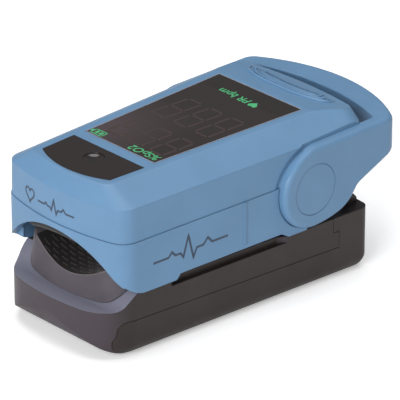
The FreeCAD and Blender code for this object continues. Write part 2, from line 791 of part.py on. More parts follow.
def nose_relief():
    """Region below the rounded nose, seen from the side."""
    flat_radius = 13.8
    tight_radius = 5.2
    start = (-22.5, 0.0)
    turn = math.radians(30)
    upright = math.radians(90)
    join = after_bend(start, flat_radius, 0, turn)
    end = after_bend(join, tight_radius, turn, upright)
    return [
        arc(start, after_bend(start, flat_radius, 0, turn / 2), join),
        arc(join, after_bend(join, tight_radius, turn, (turn + upright) / 2), end),
        line(end, (-BIG, end[1])),
        line((-BIG, end[1]), (-BIG, -2.0)),
        line((-BIG, -2.0), (start[0], -2.0)),
        line((start[0], -2.0), start),
    ]


def make_base_form(body):
    """Outer form shared by the lower housing and its battery cover."""
    shell = new_sketch(body, "XY", base_plan())
    form = pad(body, shell, "Dims.base_top")
    round_edges(body, form, at_height(0.0), "Dims.base_round")
    nose = new_sketch(body, "XZ", nose_relief())
    pocket(body, nose, "80", both=True)
    rear = dim("base_rear")
    lean = new_sketch(body, "XZ", polygon([
        (rear, 6.5), (rear + 2, 6.5), (rear + 2, 13.0), (rear - 0.7, 13.0)]))
    pocket(body, lean, "80", both=True)


def seam_line(gap):
    """Edges between housing and battery cover from the nose to the rear top."""
    low = dim("seam_z") - gap
    high = low + dim("seam_rise")
    notch = 9.2 + gap
    return [
        line((-BIG, 2.6 - gap), (-30.6 + gap, 2.6 - gap)),
        arc((-30.6 + gap, 2.6 - gap), (-28.7 + gap, 3.2 - gap), (-27.7 + gap, 4.8 - gap)),
        arc((-27.7 + gap, 4.8 - gap), (-27.2 + gap, 6.3 - gap), (-25.8, high)),
        line((-25.8, high), (21.0 + gap, low)),
        line((21.0 + gap, low), (21.0 + gap, notch)),
        line((21.0 + gap, notch), (19.6 + gap, notch)),
        line((19.6 + gap, notch), (19.6 + gap, BIG)),
    ]


def make_lower_housing():
    body = new_body("lower_housing")
    make_base_form(body)
    half = dim("core_half")
    # the side walls end at the seam, the core at the cover's floor and rear wall
    for side in (1, -1):
        strip = new_sketch(body, "XZ", seam_line(0.0) + [
            line((19.6, BIG), (BIG, BIG)),
            line((BIG, BIG), (BIG, -2.0)),
            line((BIG, -2.0), (-BIG, -2.0)),
            line((-BIG, -2.0), (-BIG, 2.6)),
        ], "%d * Dims.core_half" % side)
        pocket(body, strip, "20", flip=(side > 0))
    floor = new_sketch(body, "XZ", rectangle(-25.9, BIG, -2.0, 1.0))
    pocket(body, floor, "80", both=True)
    end = new_sketch(body, "XZ", rectangle(25.2, BIG, -2.0, BIG))
    pocket(body, end, "80", both=True)
    deck = new_sketch(body, "XY", rectangle(-25.6, 20.4, -half, half), "Dims.base_top - 1")
    pad(body, deck, "Dims.deck_z - Dims.base_top + 1")
    ledge = new_sketch(body, "XZ", nose_ledge(0.0, 30.0))
    pocket(body, ledge, "80", both=True)
    bay_x = dim("bay_half_x")
    bay = new_sketch(body, "XY", rectangle(-bay_x, bay_x, -11.2, 11.2), "0.5")
    pocket(body, bay, "11.05", flip=True)
    pegs = new_sketch(body, "XY", rectangle(
        -dim("sensor_x") - 3, -dim("sensor_x") + 3, -2.2, 2.2), "10.5")
    pad(body, pegs, "1.5")
    well = new_sketch(body, "XY", rectangle(
        -dim("sensor_x") - 2.1, -dim("sensor_x") + 2.1, -1.9, 1.9), "11.2")
    pocket(body, well, "5", flip=True)
    for side in (1, -1):
        reveal = new_sketch(body, "XY", finger_notch(side), "10.8")
        pocket(body, reveal, "5", flip=True)
    top = dim("ear_radius")
    for side in (1, -1):
        edge = "-Dims.ear_outer" if side > 0 else "Dims.ear_inner"
        ear = new_sketch(body, "XZ", [
            line((HX + top, HZ), (HX + 4.6, 11.0)),
            line((HX + 4.6, 11.0), (HX - 4.6, 11.0)),
            line((HX - 4.6, 11.0), (HX - top, HZ)),
            arc((HX - top, HZ), (HX, HZ + top), (HX + top, HZ)),
        ], edge)
        pad(body, ear, "Dims.ear_outer - Dims.ear_inner")
    bore = new_sketch(body, "XZ", [])
    circle(bore, HX, HZ, "Dims.pin_radius + Dims.fit")
    pocket(body, bore, "60", both=True)
    return keep(body, "lower_housing")


def nose_ledge(lift, limit):
    """Region between the front ledge and a level above or below it, seen from the side."""
    low = dim("ledge_z") + lift
    back = dim("deck_z") + lift
    return [
        line((-BIG, low), (-28.4, low)),
        arc((-28.4, low), (-27.0, low + 0.4), (-26.0, low + 1.25)),
        line((-26.0, low + 1.25), (-24.8, low + 2.35)),
        arc((-24.8, low + 2.35), (-24.0, low + 2.9), (-22.6, back)),
        line((-22.6, back), (-22.6, limit)),
        line((-22.6, limit), (-BIG, limit)),
        line((-BIG, limit), (-BIG, low)),
    ]


def finger_notch(side):
    """Shallow cut-back along the top of a side wall, in plan."""
    slope = dim("base_slope")
    wall = dim("base_half")
    return polygon([
        (-16.8, side * (wall + 1)), (-16.8, side * (wall - slope * 16.8 + 0.05)),
        (-15.4, side * (wall - slope * 15.4 - 0.9)), (7.4, side * (wall + slope * 7.4 - 0.9)),
        (9.2, side * (wall + slope * 9.2 + 0.05)), (9.2, side * (wall + 1.5))])


def make_battery_cover():
    """Slide-off cover: floor, side strips, two corner prongs and the whole rear end."""
    body = new_body("battery_cover")
    make_base_form(body)
    half = dim("core_half") + 0.06
    for side in (1, -1):
        above = new_sketch(body, "XZ", seam_line(0.08) + [
            line((19.68, BIG), (-BIG, BIG)),
            line((-BIG, BIG), (-BIG, 2.52)),
        ], "%d * (Dims.core_half + 0.06)" % side)
        pocket(body, above, "20", flip=(side > 0))
    inside = new_sketch(body, "XY", rectangle(-BIG, 26.6, -half, half), "Dims.cover_floor")
    pocket(body, inside, "20", flip=True)
    nose = new_sketch(body, "XY", rectangle(-BIG, -25.85, -half, half), "-1")
    pocket(body, nose, "20", flip=True)
    wide = new_sketch(body, "XY", tapered(-23.0, 18.5, dim("base_half") - 1.35, dim("base_slope")),
                      "Dims.cover_floor")
    pocket(body, wide, "20", flip=True)
    catch = new_sketch(body, "XZ", polygon([
        (25.4, 12.0), (27.0, 11.0), (27.9, 11.0), (27.6, 12.9), (27.0, 13.6), (25.4, 13.6)]))
    pad(body, catch, "29.4", both=True)
    return keep(body, "battery_cover")


def make_lower_pad():
    """Silicone floor of the finger channel with its flared mouth."""
    body = new_body("lower_finger_pad")
    outline = plan(dim("pad_front"), 36, 5.0, dim("pad_rear"), 200, 0.6, dim("pad_half"), 0.0)
    low = new_sketch(body, "XY", outline, "7")
    pad(body, low, "Dims.lip_z - 7")
    seat = new_sketch(body, "XZ", rectangle(-22.61, BIG, -5.0, dim("deck_z") + 0.02))
    pocket(body, seat, "80", both=True)
    below = new_sketch(body, "XZ", nose_ledge(0.02, 0.0))
    pocket(body, below, "80", both=True)
    lip = dim("lip_z")
    over = lip + 2.0

    def trough(depth, half):
        return [
            arc((-half, lip), (0, depth), (half, lip)),
            line((half, lip), (half, over)),
            line((half, over), (-half, over)),
            line((-half, over), (-half, lip)),
        ]

    mouth = new_sketch(body, "YZ", trough(dim("mouth_z"), 8.9), "-30")
    throat = new_sketch(body, "YZ", trough(dim("trough_z"), 9.2), "-21")
    loft(body, "SubtractiveLoft", [mouth, throat])
    channel = new_sketch(body, "YZ", trough(dim("trough_z"), 9.2), "-21")
    pocket(body, channel, "40", flip=True)
    light = new_sketch(body, "XY", rectangle(
        -dim("sensor_x") - 2.3, -dim("sensor_x") + 2.3, -2.1, 2.1), "10")
    pocket(body, light, "10", flip=True)
    keep(body, "lower_finger_pad")
    sx = "-Dims.sensor_x"
    keep(block("detector_window", sx + " - 2.2", sx + " + 2.2", "-2", "2",
               "Dims.deck_z + 0.05", "Dims.trough_z - 0.02"), "detector_window")
    keep(block("detector_sensor", sx + " - 2", sx + " + 2", "-1.8", "1.8",
               "11.22", "Dims.deck_z"), "detector_sensor")


def make_batteries():
    z = "Dims.cell_z"
    for label, y, first in (("battery_left", "-Dims.cell_y", True),
                            ("battery_right", "Dims.cell_y", False)):
        start = "-Dims.bay_half_x + 0.45 + 0.8" if first else "-Dims.bay_half_x + 2.25"
        can = rod(label + "_can", "Dims.cell_radius", "Dims.cell_length", start, y, z, "X")
        nub_x = start + " - 0.8" if first else start + " + Dims.cell_length"
        nub = rod(label + "_nub", "1.9", "0.8", nub_x, y, z, "X")
        keep(fuse(label, [can, nub]), label)


def coil(name, radius, pitch, turns, wire, x, y, z, turn):
    """Compression coil along its own Z, placed by a rotation."""
    helix = doc.addObject("Part::Helix", name + "_path")
    helix.Radius = radius
    helix.Pitch = pitch
    helix.Height = pitch * turns
    ring = doc.addObject("Part::Circle", name + "_wire")
    ring.Radius = wire
    ring.Placement = FreeCAD.Placement(
        FreeCAD.Vector(radius, 0, 0), FreeCAD.Rotation(FreeCAD.Vector(1, 0, 0), 90))
    doc.recompute()
    sweep = doc.addObject("Part::Sweep", name)
    sweep.Sections = [ring]
    sweep.Spine = helix
    sweep.Solid = True
    sweep.Frenet = True
    sweep.Placement = FreeCAD.Placement(FreeCAD.Vector(x, y, z), turn)
    doc.recompute()
    return sweep


def make_contacts():
    bay = dim("bay_half_x")
    along = FreeCAD.Rotation(FreeCAD.Vector(0, 1, 0), 90)
    y = dim("cell_y")
    z = dim("cell_z")
    wire = 0.22
    length = 2.25 - 0.5 - 2 * wire
    front = coil("spring_front", 2.6, length / 3, 3, wire, -bay + 0.42 + wire, y, z, along)
    rear = coil("spring_rear", 2.6, length / 3, 3, wire, bay - 0.42 - wire - length, -y, z, along)
    keep(group("battery_springs", [front, rear]), "battery_springs")
    plates = []
    for number, (x0, x1) in enumerate((
            ("-Dims.bay_half_x + 0.02", "-Dims.bay_half_x + 0.4"),
            ("Dims.bay_half_x - 0.4", "Dims.bay_half_x - 0.02"))):
        for side in ("-", ""):
            centre = side + "Dims.cell_y"
            plates.append(block("contact_%d%s" % (number, "a" if side else "b"), x0, x1,
                                centre + " - 4", centre + " + 4", "2.2", "10.2"))
    keep(group("battery_contacts", plates), "battery_contacts")


def torsion_spring(y_start, y_end):
    """Coil round the hinge pin; one leg stands on the deck, one lifts the upper jaw."""
    wire = 0.35
    radius = 2.6
    dip = math.radians(13)
    turns = 6 + (math.pi / 2 + dip) / (2 * math.pi)
    pitch = (y_end - y_start) / turns
    coil_path = Part.makeHelix(pitch, y_end - y_start, radius)
    # local z runs along the pin, local x starts towards the finger
    turn = FreeCAD.Rotation(
        FreeCAD.Vector(-1, 0, 0), FreeCAD.Vector(0, 0, 1), FreeCAD.Vector(0, 1, 0), "ZXY")
    coil_path.Placement = FreeCAD.Placement(FreeCAD.Vector(HX, y_start, HZ), turn)
    rise = pitch / (2 * math.pi * radius)
    first = FreeCAD.Vector(HX - radius, y_start, HZ)
    down = FreeCAD.Vector(0, -rise, -1)
    foot = first + down * (HZ - dim("deck_z") - 0.1)
    last = FreeCAD.Vector(HX + radius * math.sin(dip), y_end, HZ + radius * math.cos(dip))
    back = FreeCAD.Vector(math.cos(dip), rise, -math.sin(dip))
    tip = last + back * 7.0
    path = Part.Wire([Part.makeLine(foot, first)] + coil_path.Edges + [Part.makeLine(last, tip)])
    ring = Part.Wire([Part.makeCircle(wire, foot, first - foot)])
    return path.makePipeShell([ring], True, False)


def make_torsion_springs():
    for label, y0, y1 in (("torsion_spring_left", -10.5, -6.0),
                          ("torsion_spring_right", 6.0, 10.5)):
        feature = doc.addObject("Part::Feature", label)
        feature.Shape = torsion_spring(y0, y1)
        feature.Placement = FreeCAD.Placement()
        keep(feature, label)


def make_flex():
    """Ribbon from the lower deck, curled round the hinge axis."""
    body = new_body("flex_cable")
    inner = 5.2
    outer = 5.4
    end = math.radians(86)
    foot = dim("deck_z") + 0.03
    strip = new_sketch(body, "XZ", [
        line((HX + inner, foot), (HX + outer, foot)),
        line((HX + outer, foot), (HX + outer, HZ)),
        arc((HX + outer, HZ), (HX + outer * math.cos(end / 2), HZ + outer * math.sin(end / 2)),
            (HX + outer * math.cos(end), HZ + outer * math.sin(end))),
        line((HX + outer * math.cos(end), HZ + outer * math.sin(end)),
             (HX + inner * math.cos(end), HZ + inner * math.sin(end))),
        arc((HX + inner * math.cos(end), HZ + inner * math.sin(end)),
            (HX + inner * math.cos(end / 2), HZ + inner * math.sin(end / 2)), (HX + inner, HZ)),
        line((HX + inner, HZ), (HX + inner, foot)),
    ])
    pad(body, strip, "5", both=True)
    return keep(body, "flex_cable")


make_upper_cover()
make_middle_frame()
make_window()
make_inlay()
make_button()
make_switch()
make_boards()
make_caps_and_pin()
make_screws()
make_upper_pad()
make_lower_housing()
make_battery_cover()
make_lower_pad()
make_batteries()
make_contacts()
make_torsion_springs()
make_flex()
doc.recompute()

for feature in doc.Objects:
    if "Invalid" in feature.State or "Error" in feature.State:
        raise ValueError("%s did not build: %s" % (feature.Name, feature.State))

for node in NODES:
    if node.Shape.isNull() or not node.Shape.isValid():
        raise ValueError("%s has no valid shape" % node.Label)
    node.Shape.exportStep("parts/%s.step" % node.Label)
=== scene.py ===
import json
import math

import bmesh
import bpy
from mathutils import Matrix, Vector
from mathutils.bvhtree import BVHTree


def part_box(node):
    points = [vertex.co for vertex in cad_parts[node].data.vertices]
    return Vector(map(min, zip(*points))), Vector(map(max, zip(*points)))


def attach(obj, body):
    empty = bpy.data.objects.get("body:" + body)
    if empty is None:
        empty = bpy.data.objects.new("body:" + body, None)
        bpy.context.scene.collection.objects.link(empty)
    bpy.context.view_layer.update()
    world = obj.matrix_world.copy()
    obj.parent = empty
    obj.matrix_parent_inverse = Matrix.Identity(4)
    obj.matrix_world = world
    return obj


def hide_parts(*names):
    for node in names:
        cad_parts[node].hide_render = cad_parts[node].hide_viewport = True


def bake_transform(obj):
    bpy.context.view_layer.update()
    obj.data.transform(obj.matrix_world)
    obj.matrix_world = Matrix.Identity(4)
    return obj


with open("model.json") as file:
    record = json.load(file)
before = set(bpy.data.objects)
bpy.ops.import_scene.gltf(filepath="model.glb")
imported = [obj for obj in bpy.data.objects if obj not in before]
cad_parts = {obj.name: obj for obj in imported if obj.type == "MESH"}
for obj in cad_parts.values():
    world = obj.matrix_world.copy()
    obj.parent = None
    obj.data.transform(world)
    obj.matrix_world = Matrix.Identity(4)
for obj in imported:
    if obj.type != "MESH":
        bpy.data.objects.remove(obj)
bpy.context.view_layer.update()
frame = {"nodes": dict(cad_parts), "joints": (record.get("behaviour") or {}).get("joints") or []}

MM = 0.001
nodes = frame["nodes"]
scene = bpy.context.scene


def box_mm(node):
    """Lowest and highest corner of a CAD node, in millimetres."""
    low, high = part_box(node)
    return low / MM, high / MM


# Lengths are millimetres in the frame of the CAD model, and MM turns them into metres.
# The finger enters at -X, Y runs across and Z is up.


# ------------------------------------------------------------ materials


# size of the surface detail, in millimetres
CLOUD = 9.0
SMEAR = 3.5
MOULD_WAVE = 2.2
SMUDGE = 4.0
SCRATCH = 0.4
DRAWN_LINE = 0.25
DUST = 5.0
RUBBER_SKIN = 0.3
INK_GRAIN = 0.2
SLEEVE_WEAR = 1.2
# radius of the softened edges
PLASTIC_EDGE = 0.25
GLOSS_EDGE = 0.12
METAL_EDGE = 0.05
RUBBER_EDGE = 0.3
SLEEVE_EDGE = 0.15


def srgb(r, g, b):
    """8-bit sRGB to a linear colour."""
    def one(c):
        c = c / 255.0
        return c / 12.92 if c <= 0.04045 else ((c + 0.055) / 1.055) ** 2.4
    return (one(r), one(g), one(b), 1.0)


class Shader:
    """Small helper that builds a node tree on object coordinates."""

    def __init__(self, name):
        self.material = bpy.data.materials.new(name)
        self.material.use_nodes = True
        self.tree = self.material.node_tree
        self.tree.nodes.clear()
        self.out = self.new("ShaderNodeOutputMaterial")
        self.bsdf = self.new("ShaderNodeBsdfPrincipled")
        self.link(self.bsdf, "BSDF", self.out, "Surface")
        self.coords = self.new("ShaderNodeTexCoord")

    def new(self, kind, **settings):
        node = self.tree.nodes.new(kind)
        for key, value in settings.items():
            setattr(node, key, value)
        return node

    def link(self, a, out, b, into):
        self.tree.links.new(a.outputs[out], b.inputs[into])

    def set(self, **values):
        for key, value in values.items():
            self.bsdf.inputs[key.replace("_", " ")].default_value = value

    def noise(self, size_mm, detail=2.0, roughness=0.5, stretch=(1, 1, 1)):
        """Noise whose blobs are about size_mm across."""
        mapping = self.new("ShaderNodeMapping")
        scale = 1.0 / (size_mm * MM)
        mapping.inputs["Scale"].default_value = [scale * s for s in stretch]
        self.link(self.coords, "Object", mapping, "Vector")
        noise = self.new("ShaderNodeTexNoise")
        noise.inputs["Scale"].default_value = 1.0
        noise.inputs["Detail"].default_value = detail
        noise.inputs["Roughness"].default_value = roughness
        self.link(mapping, "Vector", noise, "Vector")
        return noise

    def ramp(self, source, output, low, high, at=(0.35, 0.65)):
        """Colour ramp from low to high."""
        ramp = self.new("ShaderNodeValToRGB")
        ramp.color_ramp.elements[0].position = at[0]
        ramp.color_ramp.elements[1].position = at[1]
        ramp.color_ramp.elements[0].color = low
        ramp.color_ramp.elements[1].color = high
        self.link(source, output, ramp, "Fac")
        return ramp

    def spread(self, source, output, low, high, span=(0.3, 0.7)):
        """Map a 0..1 value to low..high."""
        node = self.new("ShaderNodeMapRange")
        node.inputs["From Min"].default_value = span[0]
        node.inputs["From Max"].default_value = span[1]
        node.inputs["To Min"].default_value = low
        node.inputs["To Max"].default_value = high
        self.link(source, output, node, "Value")
        return node

    def bumps(self, layers, edge_mm=0.0):
        """Chain of bump layers (texture, strength, distance in mm)."""
        last = None
        if edge_mm > 0:
            last = self.new("ShaderNodeBevel", samples=4)
            last.inputs["Radius"].default_value = edge_mm * MM
        for texture, strength, distance in layers:
            bump = self.new("ShaderNodeBump")
            bump.inputs["Strength"].default_value = strength
            bump.inputs["Distance"].default_value = distance * MM
            self.link(texture, "Fac", bump, "Height")
            if last is not None:
                self.link(last, "Normal", bump, "Normal")
            last = bump
        if last is not None:
            self.link(last, "Normal", self.bsdf, "Normal")

    def colour_from(self, source, output="Color"):
        self.link(source, output, self.bsdf, "Base Color")

    def roughness_from(self, noise, rough):
        """Roughness that varies with a noise between the two values of rough."""
        value = self.spread(noise, "Fac", *rough)
        self.link(value, "Result", self.bsdf, "Roughness")


def darker(colour, share):
    """The same colour with each channel multiplied by share."""
    return [channel * share for channel in colour[:3]] + [1.0]


def plastic(name, colour, dark, rough=(0.42, 0.55), grain_mm=0.12, grain=0.25, subsurface=0.0):
    """Moulded plastic with a spark-eroded grain, faint clouding and smears."""
    sh = Shader(name)
    cloud = sh.noise(CLOUD, detail=3)
    sh.colour_from(sh.ramp(cloud, "Fac", dark, colour, at=(0.3, 0.7)))
    sh.roughness_from(sh.noise(SMEAR, detail=5, roughness=0.6), rough)
    sh.set(Specular_IOR_Level=0.4)
    if subsurface:
        sh.set(Subsurface_Weight=subsurface, Subsurface_Scale=1.2 * MM)
    sh.bumps([(sh.noise(grain_mm, detail=2), grain, 0.02),
              (sh.noise(MOULD_WAVE, detail=1), 0.05, 0.05)], PLASTIC_EDGE)
    return sh.material


def gloss(name, colour, rough=(0.04, 0.10), coat=0.6):
    """Polished plastic with hairline scratches and smudges."""
    sh = Shader(name)
    sh.set(Coat_Weight=coat, Coat_Roughness=0.04, Specular_IOR_Level=0.5)
    smudge = sh.noise(SMUDGE, detail=4, roughness=0.65)
    sh.colour_from(sh.ramp(smudge, "Fac", darker(colour, 0.9), colour))
    sh.roughness_from(smudge, rough)
    scratch = sh.noise(SCRATCH, detail=1, stretch=(0.06, 1, 1))
    sh.bumps([(scratch, 0.02, 0.01)], GLOSS_EDGE)
    return sh.material


def metal(name, colour):
    """Drawn or plated metal with fine directional lines."""
    sh = Shader(name)
    lines = sh.noise(DRAWN_LINE, detail=3, stretch=(1, 0.05, 1))
    sh.colour_from(sh.ramp(lines, "Fac", darker(colour, 0.8), colour))
    sh.roughness_from(lines, (0.22, 0.38))
    sh.set(Metallic=1.0)
    sh.bumps([(lines, 0.1, 0.01)], METAL_EDGE)
    return sh.material


def silicone(name, colour, dark, rough=(0.55, 0.7)):
    """Soft rubber: broad sheen, very fine skin texture and dust."""
    sh = Shader(name)
    sh.colour_from(sh.ramp(sh.noise(DUST, detail=4), "Fac", dark, colour))
    skin = sh.noise(RUBBER_SKIN, detail=4)
    sh.roughness_from(skin, rough)
    sh.set(Specular_IOR_Level=0.35, Sheen_Weight=0.15, Sheen_Roughness=0.5)
    sh.bumps([(skin, 0.2, 0.02)], RUBBER_EDGE)
    return sh.material


def circuit(name):
    """Green solder mask with fine tracks."""
    tracks_per_metre = 900
    track_edge = (0.42, 0.5)
    sh = Shader(name)
    mapping = sh.new("ShaderNodeMapping")
    mapping.inputs["Scale"].default_value = [tracks_per_metre] * 3
    sh.link(sh.coords, "Object", mapping, "Vector")
    cells = sh.new("ShaderNodeTexVoronoi", feature="F1", distance="MANHATTAN")
    cells.inputs["Scale"].default_value = 1.0
    sh.link(mapping, "Vector", cells, "Vector")
    sh.colour_from(sh.ramp(cells, "Distance", srgb(24, 96, 58), srgb(10, 60, 36), at=track_edge))
    sh.set(Roughness=0.35, Coat_Weight=0.3)
    height = sh.spread(cells, "Distance", 0.0, 1.0, span=track_edge)
    bump = sh.new("ShaderNodeBump")
    bump.inputs["Strength"].default_value = 0.3
    bump.inputs["Distance"].default_value = 0.03 * MM
    sh.link(height, "Result", bump, "Height")
    sh.link(bump, "Normal", sh.bsdf, "Normal")
    return sh.material


def ink(name, colour, strength=0.0):
    """Printed mark, or a lit segment where strength is set."""
    sh = Shader(name)
    grain = sh.noise(INK_GRAIN, detail=2)
    tint = sh.ramp(grain, "Fac", darker(colour, 0.86), colour)
    sh.colour_from(tint)
    sh.set(Roughness=0.5)
    if strength:
        sh.link(tint, "Color", sh.bsdf, "Emission Color")
        sh.set(Emission_Strength=strength)
    sh.bumps([(grain, 0.08, 0.01)])
    return sh.material


def base_plastic(name):
    """Warm black plastic of the lower jaw."""
    return plastic(name, srgb(46, 36, 34), srgb(40, 31, 29), rough=(0.36, 0.48),
                   grain_mm=0.10, grain=0.3)


BLUE = plastic("case_blue", srgb(100, 138, 173), srgb(96, 133, 167),
               rough=(0.38, 0.48), subsurface=0.04)
BASE = base_plastic("base_black")
HOUSING = base_plastic("housing_black")
WINDOW = gloss("window_black", srgb(34, 22, 22))
SEGMENT = gloss("segment_dim", srgb(60, 46, 43))
BAND = gloss("window_band", srgb(24, 13, 13))
# painted reflection: the pale bevel colour stands in for light caught by the window's chamfer
EDGE_GLINT = gloss("window_edge_glint", srgb(168, 172, 186), rough=(0.2, 0.3), coat=0.2)
INLAY = gloss("inlay_black", srgb(34, 26, 26), rough=(0.10, 0.18), coat=0.3)
BUTTON = gloss("button_black", srgb(34, 28, 29), rough=(0.16, 0.26), coat=0.2)
# pad colours are lit and shaded copies of one dark silicone: the paler apron stands in for front
# light, the rim colour is a painted highlight, and the near-black channel is painted shade, which
# is also the black of the upper pad
PAD_FRONT_LIT = silicone("silicone_dark", srgb(86, 80, 88), srgb(78, 72, 79))
PAD_RIM_HIGHLIGHT = silicone("silicone_rim_highlight", srgb(112, 104, 108), srgb(104, 96, 99))
PAD_BLACK_AND_SHADE = silicone("silicone_black", srgb(24, 18, 17), srgb(19, 14, 14))
# painted highlight: the ridge colour is paler than the channel, standing in for light on the ridge
# tops
PAD_RIB_HIGHLIGHT = silicone("silicone_rib_highlight", srgb(54, 46, 43), srgb(45, 38, 36), rough=(0.4, 0.55))
STEEL = metal("steel", (0.60, 0.60, 0.61, 1.0))
NICKEL = metal("nickel", (0.70, 0.66, 0.58, 1.0))
OPTIC = gloss("optics_clear", srgb(96, 18, 20), rough=(0.03, 0.08))
CHIP = plastic("chip_black", srgb(38, 38, 40), srgb(30, 30, 32), grain_mm=0.06)
BOARD = circuit("board_green")
GREY = plastic("display_grey", srgb(70, 72, 74), srgb(60, 62, 64))
AMBER = gloss("flex_amber", srgb(196, 128, 44), rough=(0.18, 0.28))
LIT = ink("legend_lit", srgb(66, 160, 106), strength=0.30)
PRINT = ink("mark_print", srgb(52, 68, 90))


def tint_where(material, colour, tests):
    """Another base colour where every test passes.

    A test is (coordinate, axis, value where it starts, value where it is full).
    """
    tree = material.node_tree
    bsdf = tree.nodes["Principled BSDF"]
    place = tree.nodes.new("ShaderNodeTexCoord")
    product = None
    for source, axis, start, end in tests:
        split = tree.nodes.new("ShaderNodeSeparateXYZ")
        tree.links.new(place.outputs[source], split.inputs["Vector"])
        fade = tree.nodes.new("ShaderNodeMapRange")
        fade.inputs["From Min"].default_value = start
        fade.inputs["From Max"].default_value = end
        tree.links.new(split.outputs[axis], fade.inputs["Value"])
        if product is None:
            product = fade.outputs["Result"]
            continue
        multiply = tree.nodes.new("ShaderNodeMath")
        multiply.operation = "MULTIPLY"
        tree.links.new(product, multiply.inputs[0])
        tree.links.new(fade.outputs["Result"], multiply.inputs[1])
        product = multiply.outputs[0]
    mix = tree.nodes.new("ShaderNodeMix")
    mix.data_type = "RGBA"
    before = bsdf.inputs["Base Color"].links[0].from_socket
    tree.links.new(before, mix.inputs["A"])
    mix.inputs["B"].default_value = colour
    tree.links.new(product, mix.inputs["Factor"])
    tree.links.new(mix.outputs["Result"], bsdf.inputs["Base Color"])


# colours of painted light: a glare on the window, front light on the housing and a highlight on
# the nose ledge
PAINTED_GLARE = srgb(66, 54, 57)
PAINTED_FRONT_LIGHT = srgb(62, 53, 60)
PAINTED_LEDGE_HIGHLIGHT = srgb(124, 124, 139)

# painted reflection: a paler glare tint lies over the front corner of the window on the +Y side
tint_where(WINDOW, PAINTED_GLARE, [("Object", "X", 4.0 * MM, -10.0 * MM),
                          ("Object", "Y", -5.0 * MM, 7.0 * MM)])
# painted light: the faces that look forward are paler, as if lit by a cool light in front
tint_where(HOUSING, PAINTED_FRONT_LIGHT, [("Normal", "X", -0.15, -0.75)])
# painted highlight: the upward faces of the nose ledge, before the deck and below the side walls,
# are paler, standing in for the reflection of the bright surroundings
tint_where(HOUSING, PAINTED_LEDGE_HIGHLIGHT, [("Normal", "Z", 0.40, 0.55),
                            ("Object", "X", -22.9 * MM, -23.4 * MM),
                            ("Object", "Z", 11.98 * MM, 11.9 * MM)])


def sleeve(name, node, plus_first):
    """Battery can: steel ends, a copper band at the plus end and a dark sleeve.

    plus_first says that the plus end is the one at -X.
    """
    steel_end = srgb(190, 190, 188)
    dark_sleeve = srgb(34, 36, 42)
    pale_line = srgb(200, 200, 196)
    copper_band = srgb(196, 120, 62)
    # where each colour starts, as a share of the length from the minus end
    stops = [(0.0, steel_end), (0.03, dark_sleeve), (0.70, pale_line),
             (0.715, copper_band), (0.945, steel_end)]
    low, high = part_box(node)
    minus, plus = (high.x, low.x) if plus_first else (low.x, high.x)
    sh = Shader(name)
    split = sh.new("ShaderNodeSeparateXYZ")
    sh.link(sh.coords, "Object", split, "Vector")
    along = sh.new("ShaderNodeMapRange")
    along.inputs["From Min"].default_value = minus
    along.inputs["From Max"].default_value = plus
    sh.link(split, "X", along, "Value")
    ramp = sh.new("ShaderNodeValToRGB")
    ramp.color_ramp.interpolation = "CONSTANT"
    for place, colour in stops[2:]:
        ramp.color_ramp.elements.new(place).color = colour
    for element, (place, colour) in zip(ramp.color_ramp.elements, stops):
        element.position = place
        element.color = colour
    sh.link(along, "Result", ramp, "Fac")
    sh.colour_from(ramp)
    wear = sh.noise(SLEEVE_WEAR, detail=4)
    sh.roughness_from(wear, (0.22, 0.38))
    sh.set(Metallic=0.35, Coat_Weight=0.4)
    sh.bumps([(wear, 0.05, 0.02)], SLEEVE_EDGE)
    return sh.material


LOOKS = {
    "upper_cover": BLUE, "middle_frame": BLUE, "pivot_cap_left": BLUE, "pivot_cap_right": BLUE,
    "lower_housing": HOUSING, "battery_cover": BASE,
    "display_window": WINDOW, "legend_film": CHIP, "display_module": GREY,
    "button_panel": INLAY, "power_button": BUTTON,
    "lower_finger_pad": PAD_FRONT_LIT, "upper_finger_pad": PAD_BLACK_AND_SHADE,
    "emitter_window": OPTIC, "detector_window": OPTIC, "emitter_led": OPTIC,
    "detector_sensor": CHIP, "switch_body": CHIP, "switch_plunger": STEEL,
    "main_board": BOARD, "board_chips": CHIP, "flex_connector": CHIP, "flex_cable": AMBER,
    "hinge_pin": STEEL, "case_screws": STEEL,
    "torsion_spring_left": STEEL, "torsion_spring_right": STEEL,
    "battery_left": sleeve("cell_left", "battery_left", True),
    "battery_right": sleeve("cell_right", "battery_right", False),
    "battery_springs": NICKEL, "battery_contacts": NICKEL,
}
for name, look in LOOKS.items():
    nodes[name].data.materials.clear()
    nodes[name].data.materials.append(look)


# ------------------------------------------------------------ mesh helpers


def piece(name, verts, faces, looks, body, pick=None, smooth=True, replaces=()):
    """Mesh piece from points in millimetres, riding on a body.

    pick gives each face its place in looks, and replaces names the CAD nodes that it stands in
    for.
    """
    data = bpy.data.meshes.new(name)
    data.from_pydata([(x * MM, y * MM, z * MM) for x, y, z in verts], [], faces)
    for look in looks:
        data.materials.append(look)
    for polygon, index in zip(data.polygons, pick or [0] * len(faces)):
        polygon.material_index = index
        polygon.use_smooth = smooth
    work = bmesh.new()
    work.from_mesh(data)
    bmesh.ops.recalc_face_normals(work, faces=work.faces)
    work.to_mesh(data)
    work.free()
    holder = bpy.data.objects.new(name, data)
    scene.collection.objects.link(holder)
    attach(holder, body)
    if replaces:
        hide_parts(*replaces)


def slab(verts, faces, outline, low, high):
    """Flat prism over a plan outline."""
    first = len(verts)
    n = len(outline)
    verts += [(x, y, low) for x, y in outline]
    verts += [(x, y, high) for x, y in outline]
    faces.append(tuple(first + i for i in range(n)))
    faces.append(tuple(first + n + i for i in range(n)))
    for i in range(n):
        k = (i + 1) % n
        faces.append((first + i, first + k, first + n + k, first + n + i))


def surface_tree(node):
    """Ray caster for a CAD node."""
    data = nodes[node].data
    return BVHTree.FromPolygons([v.co.copy() for v in data.vertices],
                                [tuple(p.vertices) for p in data.polygons])


